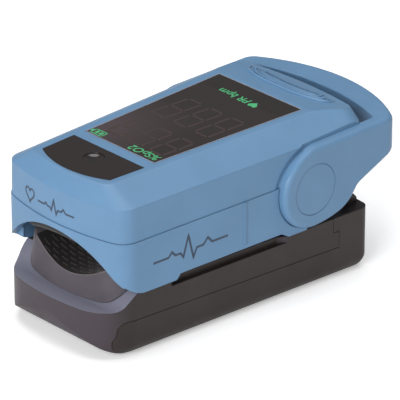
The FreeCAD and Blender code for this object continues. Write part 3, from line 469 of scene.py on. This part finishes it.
def ray_hit(tree, start, way):
    """Where a ray from start meets the surface, in millimetres, or None."""
    hit = tree.ray_cast(Vector(start) * MM, Vector(way))[0]
    return hit / MM if hit else None


DOWN = (0, 0, -1)


def clamp(value):
    """The value limited to 0..1."""
    return max(0.0, min(1.0, value))


def smooth_min(a, b, soft):
    """Lower of two heights with a rounded join."""
    h = clamp(0.5 + 0.5 * (b - a) / soft)
    return b * (1 - h) + a * h - soft * h * (1 - h)


# ------------------------------------------------------------ finger pads


# steps along half of a pad's outline
SIDE_STEPS = 44
CORNER_STEPS = 14
FRONT_STEPS = 26
# insets of the outline that are worked out in full; the ones between are interpolated
INSET_STEPS = 240
LEAST_HALF = 0.02
LEAST_CORNER = 0.3


def pad_path(front, bow, corner, half, rear):
    """Open path round a pad's outline, from rear +Y round the front to rear -Y.

    bow is the radius of the bowed front, and corner that of the two corners beside it.
    """
    centre_x = -front + bow
    reach = bow - corner
    cy = half - corner
    cx = centre_x - math.sqrt(reach * reach - cy * cy)
    first = math.asin(cy / reach)
    path = []
    for i in range(SIDE_STEPS):
        path.append((rear + (cx - rear) * i / SIDE_STEPS, half))
    for i in range(CORNER_STEPS):
        angle = math.pi / 2 + (first - math.pi / 2) * i / CORNER_STEPS
        path.append((cx - corner * math.cos(angle), cy + corner * math.sin(angle)))
    for i in range(FRONT_STEPS):
        angle = first * (1 - i / FRONT_STEPS)
        path.append((centre_x - bow * math.cos(angle), bow * math.sin(angle)))
    mirrored = [(x, -y) for x, y in reversed(path)]
    return path + [(-front, 0.0)] + mirrored


def pad_inset(shape, inset):
    """The same path moved inward."""
    front, bow, corner, half, rear = shape
    half_in = max(half - inset, LEAST_HALF)
    corner_in = min(max(corner - inset, LEAST_CORNER), half_in)
    return pad_path(front - inset, bow, corner_in, half_in, rear)


def pad_grid(shape, edge_steps, inner_steps, edge_inset):
    """Plan points of a pad: rows of insets along the path, denser at the edge.

    edge_inset(i, at) gives how far in the row with index edge_steps lies at path point i,
    and at(i, inset) is that path point moved inward.
    """
    outline = pad_path(*shape)
    half = shape[3]
    fine = [pad_inset(shape, half * k / INSET_STEPS) for k in range(INSET_STEPS + 1)]

    def at(i, inset):
        place = min(max(inset / half * INSET_STEPS, 0), INSET_STEPS - 0.001)
        k = int(place)
        t = place - k
        a, b = fine[k][i], fine[k + 1][i]
        return (a[0] + (b[0] - a[0]) * t, a[1] + (b[1] - a[1]) * t)

    rows = []
    insets = []
    for j in range(edge_steps + inner_steps + 1):
        row = []
        depth = []
        for i in range(len(outline)):
            rim = edge_inset(i, at)
            if j <= edge_steps:
                inset = rim * j / edge_steps
            else:
                inset = rim + (half - rim) * (j - edge_steps) / inner_steps
            row.append(at(i, inset))
            depth.append(inset)
        rows.append(row)
        insets.append(depth)
    return rows, insets


def pad_shell(rows, insets, over, under):
    """Closed mesh between two height functions over the rows.

    The third list says for each face which row it starts in and whether it is on top.
    """
    count = len(rows[0])
    verts = []
    faces = []
    top = []
    bottom = []
    for j, row in enumerate(rows):
        top.append([len(verts) + i for i in range(count)])
        verts += [(x, y, over(x, y, insets[j][i])) for i, (x, y) in enumerate(row)]
    for j, row in enumerate(rows):
        bottom.append([len(verts) + i for i in range(count)])
        verts += [(x, y, under(x, y, insets[j][i])) for i, (x, y) in enumerate(row)]
    last = len(rows) - 1
    rings = []
    for j in range(last):
        for i in range(count - 1):
            rings.append((j, True))
            faces.append((top[j][i], top[j][i + 1], top[j + 1][i + 1], top[j + 1][i]))
            rings.append((j, False))
            faces.append((bottom[j][i], bottom[j + 1][i], bottom[j + 1][i + 1], bottom[j][i + 1]))
    for i in range(count - 1):
        rings.append((0, False))
        faces.append((top[0][i], bottom[0][i], bottom[0][i + 1], top[0][i + 1]))
    for j in range(last):
        for i in (0, count - 1):
            rings.append((j, False))
            faces.append((top[j][i], top[j + 1][i], bottom[j + 1][i], bottom[j][i]))
    # the innermost row folds onto the middle line
    middle = count // 2
    for grid in (top, bottom):
        for i in range(middle):
            rings.append((last, grid is top))
            faces.append((grid[last][i], grid[last][i + 1],
                          grid[last][count - 2 - i], grid[last][count - 1 - i]))
    rings.append((last, False))
    faces.append((top[last][0], bottom[last][0], bottom[last][count - 1], top[last][count - 1]))
    return verts, faces, rings


# plan of each pad: front, radius of the bowed front, corner radius, half width, rear
LOWER_PAD = (28.5, 36.0, 5.0, 12.3, 6.4)
UPPER_PAD = (27.7, 45.0, 3.0, 12.3, 6.4)
PAD_ROWS = 40

# lower pad: a trough between two lips, with a flared mouth and a well for the detector
LIP_Z = 15.4
LIP_ROUND = 0.5
TROUGH_Z = 13.2
TROUGH_HALF = 9.3
MOUTH_X = -21.0
MOUTH_LENGTH = 6.5
MOUTH_DROP = 1.05
SENSOR_X = sum(corner.x for corner in box_mm("emitter_window")) / 2
WELL_HALF_LENGTH = 2.35
WELL_HALF_WIDTH = 2.15
WELL_Z = 13.05
RIM_STEPS = 16
RIM_ROUND = 0.35
LEAST_RIM = 0.4
MOST_RIM = 4.0
RIM_SEARCH = 0.02

# what the lower pad rests on: the deck, the slope before it, its foot and the nose ledge
DECK_Z = 12.43
SLOPE_TOP_Z = 12.42
LEDGE_Z = 8.97
DECK_FRONT = -22.6
SLOPE_FRONT = -24.8
FOOT_REAR = -26.0
FOOT_FRONT = -28.4
FOOT_RISE = 1.25
STEP_RISE = 1.1
FOOT_CURVE = 1.7
SLOPE_CURVE = 1.6

# front of the lower pad: rise per mm inward in the middle, and what y = APRON_SIDE adds to it
APRON_SLOPE = 2.5
APRON_EXTRA = 2.0
APRON_SIDE = 9.0

# upper pad: a shallow vault with a recess for the light source
VAULT_Z = 18.1
VAULT_DROP = 2.2
VAULT_HALF = 11.5
VAULT_EDGE_Z = 15.9
RECESS_HALF = 2.7
RECESS_Z = 18.3
UPPER_PAD_TOP = 20.88
UPPER_RIM_STEPS = 6
UPPER_RIM = 0.9
UPPER_ROUND = 0.8


def trough_height(x, y):
    """Finger trough with a flared mouth between two flat lips."""
    flare = clamp((MOUTH_X - x) / MOUTH_LENGTH)
    floor = TROUGH_Z - MOUTH_DROP * flare * flare * (3 - 2 * flare)
    side = floor + (LIP_Z - floor) * (y / TROUGH_HALF) ** 2
    height = smooth_min(side, LIP_Z, LIP_ROUND)
    if abs(x - SENSOR_X) < WELL_HALF_LENGTH and abs(y) < WELL_HALF_WIDTH:
        height = min(height, WELL_Z)
    return height


def ledge_height(x):
    """Surface that the pad rests on: the deck, and the nose ledge before it."""
    if x > DECK_FRONT:
        return DECK_Z
    if x < FOOT_FRONT:
        return LEDGE_Z
    if x < FOOT_REAR:
        t = (x - FOOT_FRONT) / (FOOT_REAR - FOOT_FRONT)
        return LEDGE_Z + FOOT_RISE * t ** FOOT_CURVE
    if x < SLOPE_FRONT:
        t = (x - FOOT_REAR) / (SLOPE_FRONT - FOOT_REAR)
        return LEDGE_Z + FOOT_RISE + STEP_RISE * t
    low = LEDGE_Z + FOOT_RISE + STEP_RISE
    t = (x - SLOPE_FRONT) / (DECK_FRONT - SLOPE_FRONT)
    return low + (SLOPE_TOP_Z - low) * (1 - (1 - t) ** SLOPE_CURVE)


def apron_height(x, y, inset):
    """Front slope of the pad, steeper towards its corners."""
    slope = APRON_SLOPE + APRON_EXTRA * (abs(y) / APRON_SIDE) ** 3
    return ledge_height(x) + slope * inset


def rim_inset(i, at):
    """How far in the apron meets the trough at path point i."""
    inset = LEAST_RIM
    while inset < MOST_RIM:
        x, y = at(i, inset)
        if apron_height(x, y, inset) >= trough_height(x, y) and abs(y) <= TROUGH_HALF:
            break
        inset += RIM_SEARCH
    return inset


def make_lower_pad():
    """Silicone trough in lit and shaded copies of one silicone: a painted highlight makes its rim
    paler and painted shade makes its channel darker than its front-lit apron.
    """
    found = {}

    def rim(i, at):
        if i not in found:
            found[i] = rim_inset(i, at)
        return found[i]

    def over(x, y, inset):
        return smooth_min(trough_height(x, y), apron_height(x, y, inset), RIM_ROUND)

    rows, insets = pad_grid(LOWER_PAD, RIM_STEPS, PAD_ROWS, rim)
    verts, faces, rings = pad_shell(rows, insets, over, lambda x, y, inset: ledge_height(x))
    # apron faces take the front-lit colour, the rim row a painted highlight and the channel
    # painted shade
    apron, lip, channel = range(3)
    pick = []
    for row, is_top in rings:
        if not is_top or row < RIM_STEPS - 1:
            pick.append(apron)
        elif row == RIM_STEPS - 1:
            pick.append(lip)
        else:
            pick.append(channel)
    piece("lower_pad_skin", verts, faces, [PAD_FRONT_LIT, PAD_RIM_HIGHLIGHT, PAD_BLACK_AND_SHADE], "lower_jaw", pick,
          replaces=["lower_finger_pad"])


def roof_height(x, y):
    """Underside of the upper pad: a shallow vault."""
    if abs(x - SENSOR_X) < RECESS_HALF and abs(y) < RECESS_HALF:
        return RECESS_Z
    return max(VAULT_Z - VAULT_DROP * (y / VAULT_HALF) ** 2, VAULT_EDGE_Z)


def make_upper_pad():
    """Dark roof of the finger channel, with a rounded edge."""
    def under(x, y, inset):
        return roof_height(x, y) + UPPER_ROUND * max(0.0, 1 - inset / UPPER_ROUND) ** 2

    rows, insets = pad_grid(UPPER_PAD, UPPER_RIM_STEPS, PAD_ROWS, lambda i, at: UPPER_RIM)
    verts, faces, _ = pad_shell(rows, insets, lambda x, y, inset: UPPER_PAD_TOP, under)
    piece("upper_pad_skin", verts, faces, [PAD_BLACK_AND_SHADE], "upper_jaw",
          replaces=["upper_finger_pad"])


def add_dash(verts, faces, x, y0, y1, height, sign):
    """Low rounded ridge across the finger on the surface height(x, y).

    sign is 1 where it stands up and -1 where it hangs down.
    """
    steps = 8
    half_width = 0.12
    tall = 0.13
    end_share = 0.15
    first = len(verts)
    # across and up, as shares of half_width and tall
    profile = [(-1.0, -0.4), (-0.72, 0.62), (0.0, 1.0), (0.72, 0.62), (1.0, -0.4)]
    for i in range(steps + 1):
        t = i / steps
        y = y0 + (y1 - y0) * t
        round_ends = math.sqrt(max(0.0, 1 - (2 * t - 1) ** 6))
        swell = round_ends * (1 - end_share) + end_share
        base = height(x, y)
        for across, up in profile:
            verts.append((x + across * half_width * swell, y, base + sign * up * tall * swell))
    n = len(profile)
    for i in range(steps):
        for k in range(n):
            a = first + i * n + k
            b = first + i * n + (k + 1) % n
            faces.append((a, b, b + n, a + n))
    faces.append(tuple(first + k for k in range(n)))
    faces.append(tuple(first + steps * n + k for k in range(n)))


def make_dashes(name, body, height, sign, x_first, half, clear):
    """Staggered rows of short ridges that grip the finger.

    The square round the optics, clear to each side of its middle, has none.
    """
    x_last = 5.4
    row_pitch = 0.9
    pitch = 2.3
    length = 1.7
    verts = []
    faces = []
    for row in range(int((x_last - x_first) / row_pitch)):
        x = x_first + row * row_pitch
        shift = pitch / 2 if row % 2 else 0.0
        y = -half + shift
        while y + length < half:
            at_optics = abs(x - SENSOR_X) < clear and y < clear and y + length > -clear
            if not at_optics:
                add_dash(verts, faces, x, y, y + length, height, sign)
            y += pitch
    # the ridges are paler than the channel: a painted highlight on their tops
    piece(name, verts, faces, [PAD_RIB_HIGHLIGHT], body)


make_lower_pad()
make_upper_pad()
make_dashes("lower_pad_ridges", "lower_jaw", trough_height, 1, x_first=-26.3, half=8.6, clear=2.7)
make_dashes("upper_pad_ridges", "upper_jaw", roof_height, -1, x_first=-26.2, half=9.9, clear=3.0)


# ------------------------------------------------------------ display


# the window widens towards the rear, as the case does
window_low, window_high = box_mm("display_window")
WINDOW_FRONT = window_low.x
WINDOW_REAR = window_high.x
SIDE_SLOPE = 0.05
WINDOW_HALF = window_high.y - SIDE_SLOPE * WINDOW_REAR
TOP_Z = window_high.z
# printed films start SINK under the top face and stand FILM above it
FILM = 0.012
SINK = 0.02


def window_half(x):
    """Half width of the window at x."""
    return WINDOW_HALF + SIDE_SLOPE * x


def window_strip(x0, x1, inset):
    """Outline of the window between x0 and x1, moved in from its two sides."""
    return [(x0, -window_half(x0) + inset), (x1, -window_half(x1) + inset),
            (x1, window_half(x1) - inset), (x0, window_half(x0) - inset)]


def rectangle(x0, x1, y0, y1):
    """Outline of a rectangle from its two ends along X and along Y."""
    return [(x0, y0), (x1, y0), (x1, y1), (x0, y1)]


def bar(start, end, width):
    """Display segment: a bar with pointed ends between two points."""
    x0, y0 = start
    x1, y1 = end
    dx, dy = x1 - x0, y1 - y0
    length = math.hypot(dx, dy)
    ux, uy = dx / length, dy / length
    w = width / 2
    return [(x0, y0), (x0 + (ux - uy) * w, y0 + (uy + ux) * w),
            (x1 - (ux + uy) * w, y1 - (uy - ux) * w), (x1, y1),
            (x1 - (ux - uy) * w, y1 - (uy + ux) * w), (x0 + (ux + uy) * w, y0 + (uy - ux) * w)]


def make_segments():
    """Two rows of three unlit seven-segment digits, read from the rear."""
    # top and foot of each row along X, and the two sides of each column along Y
    rows = ((-12.2, -5.0), (-1.6, 6.9))
    columns = ((-7.8, -4.5), (-2.5, 0.9), (2.9, 6.3))
    gap = 0.22
    width = 0.5
    lean = 0.35
    verts = []
    faces = []
    for x_top, x_low in rows:
        x_mid = (x_top + x_low) / 2
        for y_left, y_right in columns:
            ends = []
            for x in (x_top, x_mid, x_low):
                ends.append(((x, y_left + gap), (x, y_right - gap)))
            for xa, xb in ((x_top, x_mid), (x_mid, x_low)):
                for y in (y_left, y_right):
                    ends.append(((xa + gap, y), (xb - gap, y)))
            for pair in ends:
                start, end = [(x, y + lean * (x_low - x) / (x_low - x_top)) for x, y in pair]
                slab(verts, faces, bar(start, end, width), TOP_Z - SINK, TOP_Z + FILM)
    piece("display_segments", verts, faces, [SEGMENT], "upper_jaw", smooth=False)


def make_window_band():
    """Darker band at the rear of the window."""
    band_front = 13.3
    gap = 0.1
    strip = window_strip(band_front, WINDOW_REAR - gap, gap)
    verts = []
    faces = []
    slab(verts, faces, strip, TOP_Z - SINK, TOP_Z + FILM / 2)
    piece("window_band", verts, faces, [BAND], "upper_jaw", smooth=False)


def make_window_edge_glint():
    """Pale bevel round the window, a painted reflection of the light caught by its chamfer."""
    wide = 0.14
    low = TOP_Z - 0.05
    side_top = TOP_Z + 0.02
    end_top = TOP_Z + 0.018
    x0, x1 = WINDOW_FRONT, WINDOW_REAR
    verts = []
    faces = []
    for side in (1, -1):
        outer = [(x, side * window_half(x)) for x in (x0, x1)]
        inner = [(x, side * (window_half(x) - wide)) for x in (x1, x0)]
        slab(verts, faces, outer + inner, low, side_top)
    for x, y in ((x0, window_half(x0)), (x1 - wide, window_half(x1))):
        slab(verts, faces, rectangle(x, x + wide, -y, y), low, end_top)
    piece("window_edge_glint", verts, faces, [EDGE_GLINT], "upper_jaw", smooth=False)


LETTER_HEIGHT = 1.75
SIZE_PER_HEIGHT = 1.38
LETTER_SLANT = 0.15
LETTER_WEIGHT = 0.02


def lettering(name, text, x, y):
    """Unit of a reading, read from the rear: it runs along +Y with its top towards -X."""
    font = bpy.data.curves.new(name, "FONT")
    font.body = text
    font.size = LETTER_HEIGHT * SIZE_PER_HEIGHT * MM
    font.shear = LETTER_SLANT
    font.offset = LETTER_WEIGHT * MM
    font.extrude = FILM * MM
    holder = bpy.data.objects.new(name, font)
    scene.collection.objects.link(holder)
    bpy.context.view_layer.update()
    graph = bpy.context.evaluated_depsgraph_get()
    data = bpy.data.meshes.new_from_object(holder.evaluated_get(graph))
    bpy.data.objects.remove(holder)
    turn = Matrix(((0, -1, 0, x * MM), (1, 0, 0, y * MM), (0, 0, 1, TOP_Z * MM), (0, 0, 0, 1)))
    data.transform(turn)
    data.materials.clear()
    data.materials.append(LIT)
    shown = bpy.data.objects.new(name, data)
    scene.collection.objects.link(shown)
    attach(shown, "upper_jaw")


def heart(size):
    """Outline of a heart with its point at (0, 0), as (across, up).

    The curve is 32 wide and its height runs from -17 to about 12.
    """
    steps = 28
    points = []
    for i in range(steps):
        t = 2 * math.pi * i / steps
        across = 16 * math.sin(t) ** 3
        up = 13 * math.cos(t) - 5 * math.cos(2 * t) - 2 * math.cos(3 * t) - math.cos(4 * t)
        points.append((across / 32 * size, (up + 17) / 29 * size))
    return points


def add_heart(verts, faces, x, y, size):
    """Heart with its point at x, y, read from the rear."""
    outline = [(x - up, y + across) for across, up in heart(size)]
    slab(verts, faces, outline, TOP_Z - SINK, TOP_Z + FILM)


def add_battery(verts, faces, x0, x1, y0, y1):
    """Battery symbol: a frame, its nub on the +Y side and two bars of charge."""
    line = 0.22
    nub_length = 0.4
    nub_inset = 0.55
    charge_inset = 0.45
    charge_width = 0.65
    bars = [(x0, x0 + line, y0, y1), (x1 - line, x1, y0, y1),
            (x0, x1, y0, y0 + line), (x0, x1, y1 - line, y1),
            (x0 + nub_inset, x1 - nub_inset, y1, y1 + nub_length)]
    for start in (0.5, 1.5):
        bars.append((x0 + charge_inset, x1 - charge_inset,
                     y0 + start, y0 + start + charge_width))
    for xa, xb, ya, yb in bars:
        slab(verts, faces, rectangle(xa, xb, ya, yb), TOP_Z - SINK, TOP_Z + FILM)


def make_icons():
    """Heart and battery symbols."""
    verts = []
    faces = []
    add_heart(verts, faces, 14.35, -3.3, 1.9)
    add_battery(verts, faces, -14.7, -12.9, 5.2, 8.1)
    piece("display_icons", verts, faces, [LIT], "upper_jaw", smooth=False)


make_segments()
make_window_band()
make_window_edge_glint()
make_icons()
lettering("legend_oxygen", "%SpO2", -12.75, -8.2)
lettering("legend_rate", "PR bpm", 14.35, -2.1)


# ------------------------------------------------------------ printed marks


RIBBON_STEP = 0.35
# least cosine at a bend, which limits how far its outer corner sticks out
SHARPEST_MITRE = 0.45
# underside and top of a mark, measured out from the surface
INK_BELOW = -0.02
INK_ABOVE = 0.012


def ribbon(points, width):
    """Left and right edges of a band along a polyline, cut into short steps."""
    dense = []
    for a, b in zip(points, points[1:]):
        count = max(1, int(math.dist(a, b) / RIBBON_STEP))
        dense += [(a[0] + (b[0] - a[0]) * i / count, a[1] + (b[1] - a[1]) * i / count)
                  for i in range(count)]
    dense.append(points[-1])
    left = []
    right = []
    for i, p in enumerate(dense):
        before = dense[max(i - 1, 0)]
        after = dense[min(i + 1, len(dense) - 1)]
        a = Vector((p[0] - before[0], p[1] - before[1]))
        b = Vector((after[0] - p[0], after[1] - p[1]))
        a = a.normalized() if a.length else b.normalized()
        b = b.normalized() if b.length else a
        side = Vector((-(a.y + b.y), a.x + b.x)).normalized()
        cosine = max(SHARPEST_MITRE, side.dot(Vector((-a.y, a.x))))
        w = width / 2 / cosine
        left.append((p[0] + side.x * w, p[1] + side.y * w))
        right.append((p[0] - side.x * w, p[1] - side.y * w))
    return left, right


def print_mark(name, node, lines, width, ray):
    """Thin printed bands laid on a CAD surface; ray(u, v) gives a start and a direction."""
    tree = surface_tree(node)
    verts = []
    faces = []
    for points in lines:
        left, right = ribbon(points, width)
        first = len(verts)
        for (lu, lv), (ru, rv) in zip(left, right):
            for u, v in ((lu, lv), (ru, rv)):
                start, way = ray(u, v)
                hit = ray_hit(tree, start, way)
                for proud in (INK_BELOW, INK_ABOVE):
                    verts.append(tuple(hit - Vector(way) * proud))
        count = len(left)
        for i in range(count - 1):
            a = first + i * 4
            b = a + 4
            faces += [(a + 1, a + 3, b + 3, b + 1), (a, b, b + 2, a + 2),
                      (a, a + 1, b + 1, b), (a + 2, b + 2, b + 3, a + 3)]
        end = first + (count - 1) * 4
        faces += [(first, first + 2, first + 3, first + 1), (end, end + 1, end + 3, end + 2)]
    piece(name, verts, faces, [PRINT], "upper_jaw", smooth=False)


def pulse_line(start, scale):
    """Generic heartbeat trace, as (along, up) points."""
    trace = [(0, 0), (3.0, 0), (3.7, 0.75), (4.4, 0), (5.4, 0), (6.0, -0.8), (7.0, 2.6),
             (8.0, -1.5), (8.7, 0), (10.0, 0), (10.9, 1.0), (11.8, 0), (15.0, 0)]
    return [(start[0] + along * scale, start[1] + up * scale) for along, up in trace]


def make_marks():
    """A pulse trace on the -Y side, and a heart with a smaller trace on the front."""
    def from_side(u, v):
        return (u, -40.0, v), (0, 1, 0)

    def from_front(u, v):
        return (-60.0, -u, v), (1, 0, 0)

    side_trace = pulse_line((-21.5, 17.0), 1.1)
    print_mark("side_mark", "middle_frame", [side_trace], 0.42, from_side)
    outline = [(-6.9 + across, 23.3 + up) for across, up in heart(2.6)]
    front_trace = pulse_line((-4.6, 24.5), 0.62)
    print_mark("front_mark", "upper_cover", [outline + outline[:1], front_trace], 0.36, from_front)


make_marks()


# ------------------------------------------------------------ raised ribs


def add_tube(verts, faces, points, radius):
    """Round bar along a level polyline, tapering into its ends."""
    sides = 10
    end_share = 0.15
    taper = 6
    first = len(verts)
    count = len(points)
    for i, p in enumerate(points):
        before = Vector(points[max(i - 1, 0)])
        after = Vector(points[min(i + 1, count - 1)])
        way = (after - before).normalized()
        side = Vector((-way.y, way.x, 0)).normalized()
        up = way.cross(side)
        if up.z < 0:
            up = -up
        t = i / (count - 1)
        r = radius * min(1.0, end_share + taper * min(t, 1 - t))
        for k in range(sides):
            angle = 2 * math.pi * k / sides
            verts.append(tuple(Vector(p) + (side * math.cos(angle) + up * math.sin(angle)) * r))
    for i in range(count - 1):
        for k in range(sides):
            a = first + i * sides + k
            b = first + i * sides + (k + 1) % sides
            faces.append((a, b, b + sides, a + sides))
    faces.append(tuple(first + k for k in range(sides)))
    faces.append(tuple(first + (count - 1) * sides + k for k in range(sides)))


# height from which rays look down on the case, and the step of ribs and beads across it
ABOVE = 50.0
ACROSS_STEP = 0.5


def crosswise(half):
    """Places across the object, from -half to half."""
    return [-half + ACROSS_STEP * i for i in range(int(2 * half / ACROSS_STEP) + 1)]


def make_thumb_ribs():
    """Three nested ribs round the front of the thumb rest."""
    rear_x = 26.2
    # how far forward each rib reaches, and its half width
    ribs = ((3.7, 10.3), (2.85, 8.8), (2.0, 7.4))
    squareness = 0.8
    steps = 60
    lowest = 28.0
    proud = 0.10
    radius = 0.30
    tree = surface_tree("upper_cover")
    verts = []
    faces = []
    for depth, half in ribs:
        points = []
        for i in range(steps + 1):
            angle = math.pi * (0.5 + i / steps)
            x = rear_x - depth * abs(math.cos(angle)) ** squareness
            y = half * math.copysign(abs(math.sin(angle)) ** squareness, math.sin(angle))
            hit = ray_hit(tree, (x, y, ABOVE), DOWN)
            if hit and hit.z > lowest:
                points.append((x, y, hit.z + proud))
        add_tube(verts, faces, points, radius)
    piece("thumb_ribs", verts, faces, [BLUE], "upper_jaw")


def inner_edge(tree, y):
    """Inner edge of the rear bow's top at y, found by walking inward from its rear."""
    walk = 0.05
    rear = 38.6
    front = 27.0
    lowest = 24.0
    x = rear
    edge = None
    while x > front:
        hit = ray_hit(tree, (x, y, ABOVE), DOWN)
        if hit and hit.z > lowest:
            edge = (x, y, hit.z)
        elif edge:
            break
        x -= walk
    return edge


def make_bow_bead():
    """Rounded bead along the inner edge of the rear bow."""
    inward = 0.30
    sink = 0.22
    radius = 0.38
    tree = surface_tree("upper_cover")
    points = []
    for place in crosswise(13.0):
        x, y, z = inner_edge(tree, place)
        points.append((x + inward, y, z - sink))
    verts = []
    faces = []
    add_tube(verts, faces, points, radius)
    piece("bow_bead", verts, faces, [BLUE], "upper_jaw")


def make_seam_strip():
    """Lip that closes the line of sight through the parting line at the front."""
    front = -29.3
    bow = 47.0
    z = 22.08
    radius = 0.14
    points = [(front + y * y / (2 * bow), y, z) for y in crosswise(11.0)]
    verts = []
    faces = []
    add_tube(verts, faces, points, radius)
    piece("seam_strip", verts, faces, [BLUE], "upper_jaw")


def make_grip_ribs():
    """Three short grips on the rear wall of the battery cover."""
    behind = 60.0
    proud = 0.02
    radius = 0.35
    tree = surface_tree("battery_cover")
    verts = []
    faces = []
    for z in (3.6, 5.0, 6.4):
        points = []
        for y in crosswise(6.0):
            hit = ray_hit(tree, (behind, y, z), (-1, 0, 0))
            points.append((hit.x + proud, y, z))
        add_tube(verts, faces, points, radius)
    piece("grip_ribs", verts, faces, [BASE], "battery_door")


# ------------------------------------------------------------ springs


def make_springs():
    """Steel copies of the torsion springs, fixed in place, standing in for the hidden CAD springs.
    """
    joint = next(joint for joint in frame["joints"] if joint["name"] == "jaw_hinge")
    hinge = Vector(joint["pos_m"])
    for side in ("left", "right"):
        node = "torsion_spring_" + side
        data = nodes[node].data.copy()
        data.materials.clear()
        data.materials.append(STEEL)
        wire = bpy.data.objects.new(node + "_wire", data)
        scene.collection.objects.link(wire)
        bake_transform(wire)
        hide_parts(node)


make_springs()
make_thumb_ribs()
make_bow_bead()
make_seam_strip()
make_grip_ribs()


# ------------------------------------------------------------ stage


# stage, lights and camera are in metres
LIGHT_AIM = (0, 0, 0.015)
WHITE = (1, 1, 1)


def area_light(name, place, size, energy, colour=WHITE):
    """Soft rectangular light that points at the object."""
    light = bpy.data.lights.new(name, "AREA")
    light.shape = "RECTANGLE"
    light.size = size[0]
    light.size_y = size[1]
    light.energy = energy
    light.color = colour
    holder = bpy.data.objects.new(name, light)
    scene.collection.objects.link(holder)
    holder.location = place
    way = Vector(LIGHT_AIM) - Vector(place)
    holder.rotation_euler = way.to_track_quat("-Z", "Y").to_euler()


def make_floor():
    """Matt white floor just under the object, brighter to the camera than as a lamp."""
    bpy.ops.mesh.primitive_plane_add(size=6.0, location=(0, 0, -0.05 * MM))
    floor = bpy.context.object
    floor.name = "floor"
    sh = Shader("floor_white")
    cloud = sh.noise(60.0, detail=2)
    sh.colour_from(sh.ramp(cloud, "Fac", (0.90, 0.90, 0.90, 1), (0.92, 0.92, 0.92, 1)))
    sh.set(Roughness=0.9, Specular_IOR_Level=0.1, Emission_Color=(*WHITE, 1))
    seen = sh.new("ShaderNodeLightPath")
    glow = sh.new("ShaderNodeMapRange")
    glow.inputs["To Min"].default_value = 0.02
    glow.inputs["To Max"].default_value = 0.30
    sh.link(seen, "Is Camera Ray", glow, "Value")
    sh.link(glow, "Result", sh.bsdf, "Emission Strength")
    floor.data.materials.append(sh.material)


def make_world():
    """White surroundings, brighter to the camera than as a light."""
    world = bpy.data.worlds.new("studio")
    scene.world = world
    world.use_nodes = True
    tree = world.node_tree
    background = tree.nodes["Background"]
    background.inputs["Color"].default_value = (*WHITE, 1)
    path = tree.nodes.new("ShaderNodeLightPath")
    level = tree.nodes.new("ShaderNodeMapRange")
    level.inputs["To Min"].default_value = 0.20
    level.inputs["To Max"].default_value = 0.945
    tree.links.new(path.outputs["Is Camera Ray"], level.inputs["Value"])
    tree.links.new(level.outputs["Result"], background.inputs["Strength"])


def make_lights():
    """Key from the front, a softer light overhead and a weak fill from the -Y side."""
    area_light("key", (-0.60, -0.22, 0.32), (0.40, 0.40), 4.0, (0.98, 0.99, 1.0))
    area_light("top", (0.05, 0.05, 0.60), (0.50, 0.50), 2.6)
    area_light("fill", (0.15, -0.60, 0.22), (0.5, 0.4), 0.35)
    scene.view_settings.view_transform = "Standard"


def make_camera():
    """Perspective camera that looks down on the front and the -Y side."""
    azimuth = math.radians(-43.2)
    sine_of_rise = 0.44
    distance = 0.70
    view_width = 70.2 * MM
    rise = math.asin(sine_of_rise)
    away = Vector((math.sin(azimuth) * math.cos(rise),
                   -math.cos(azimuth) * math.cos(rise), math.sin(rise)))
    right = Vector((math.cos(azimuth), math.sin(azimuth), 0))
    up = away.cross(right)
    aim = (right * 2.67 + up * 14.56) * MM
    data = bpy.data.cameras.new("camera")
    data.sensor_width = 36.0
    data.lens = data.sensor_width * distance / view_width
    data.clip_end = 20.0
    camera = bpy.data.objects.new("camera", data)
    scene.collection.objects.link(camera)
    camera.location = aim + away * distance
    camera.rotation_euler = (-away).to_track_quat("-Z", "Y").to_euler()
    scene.camera = camera


make_floor()
make_world()
make_lights()
make_camera()
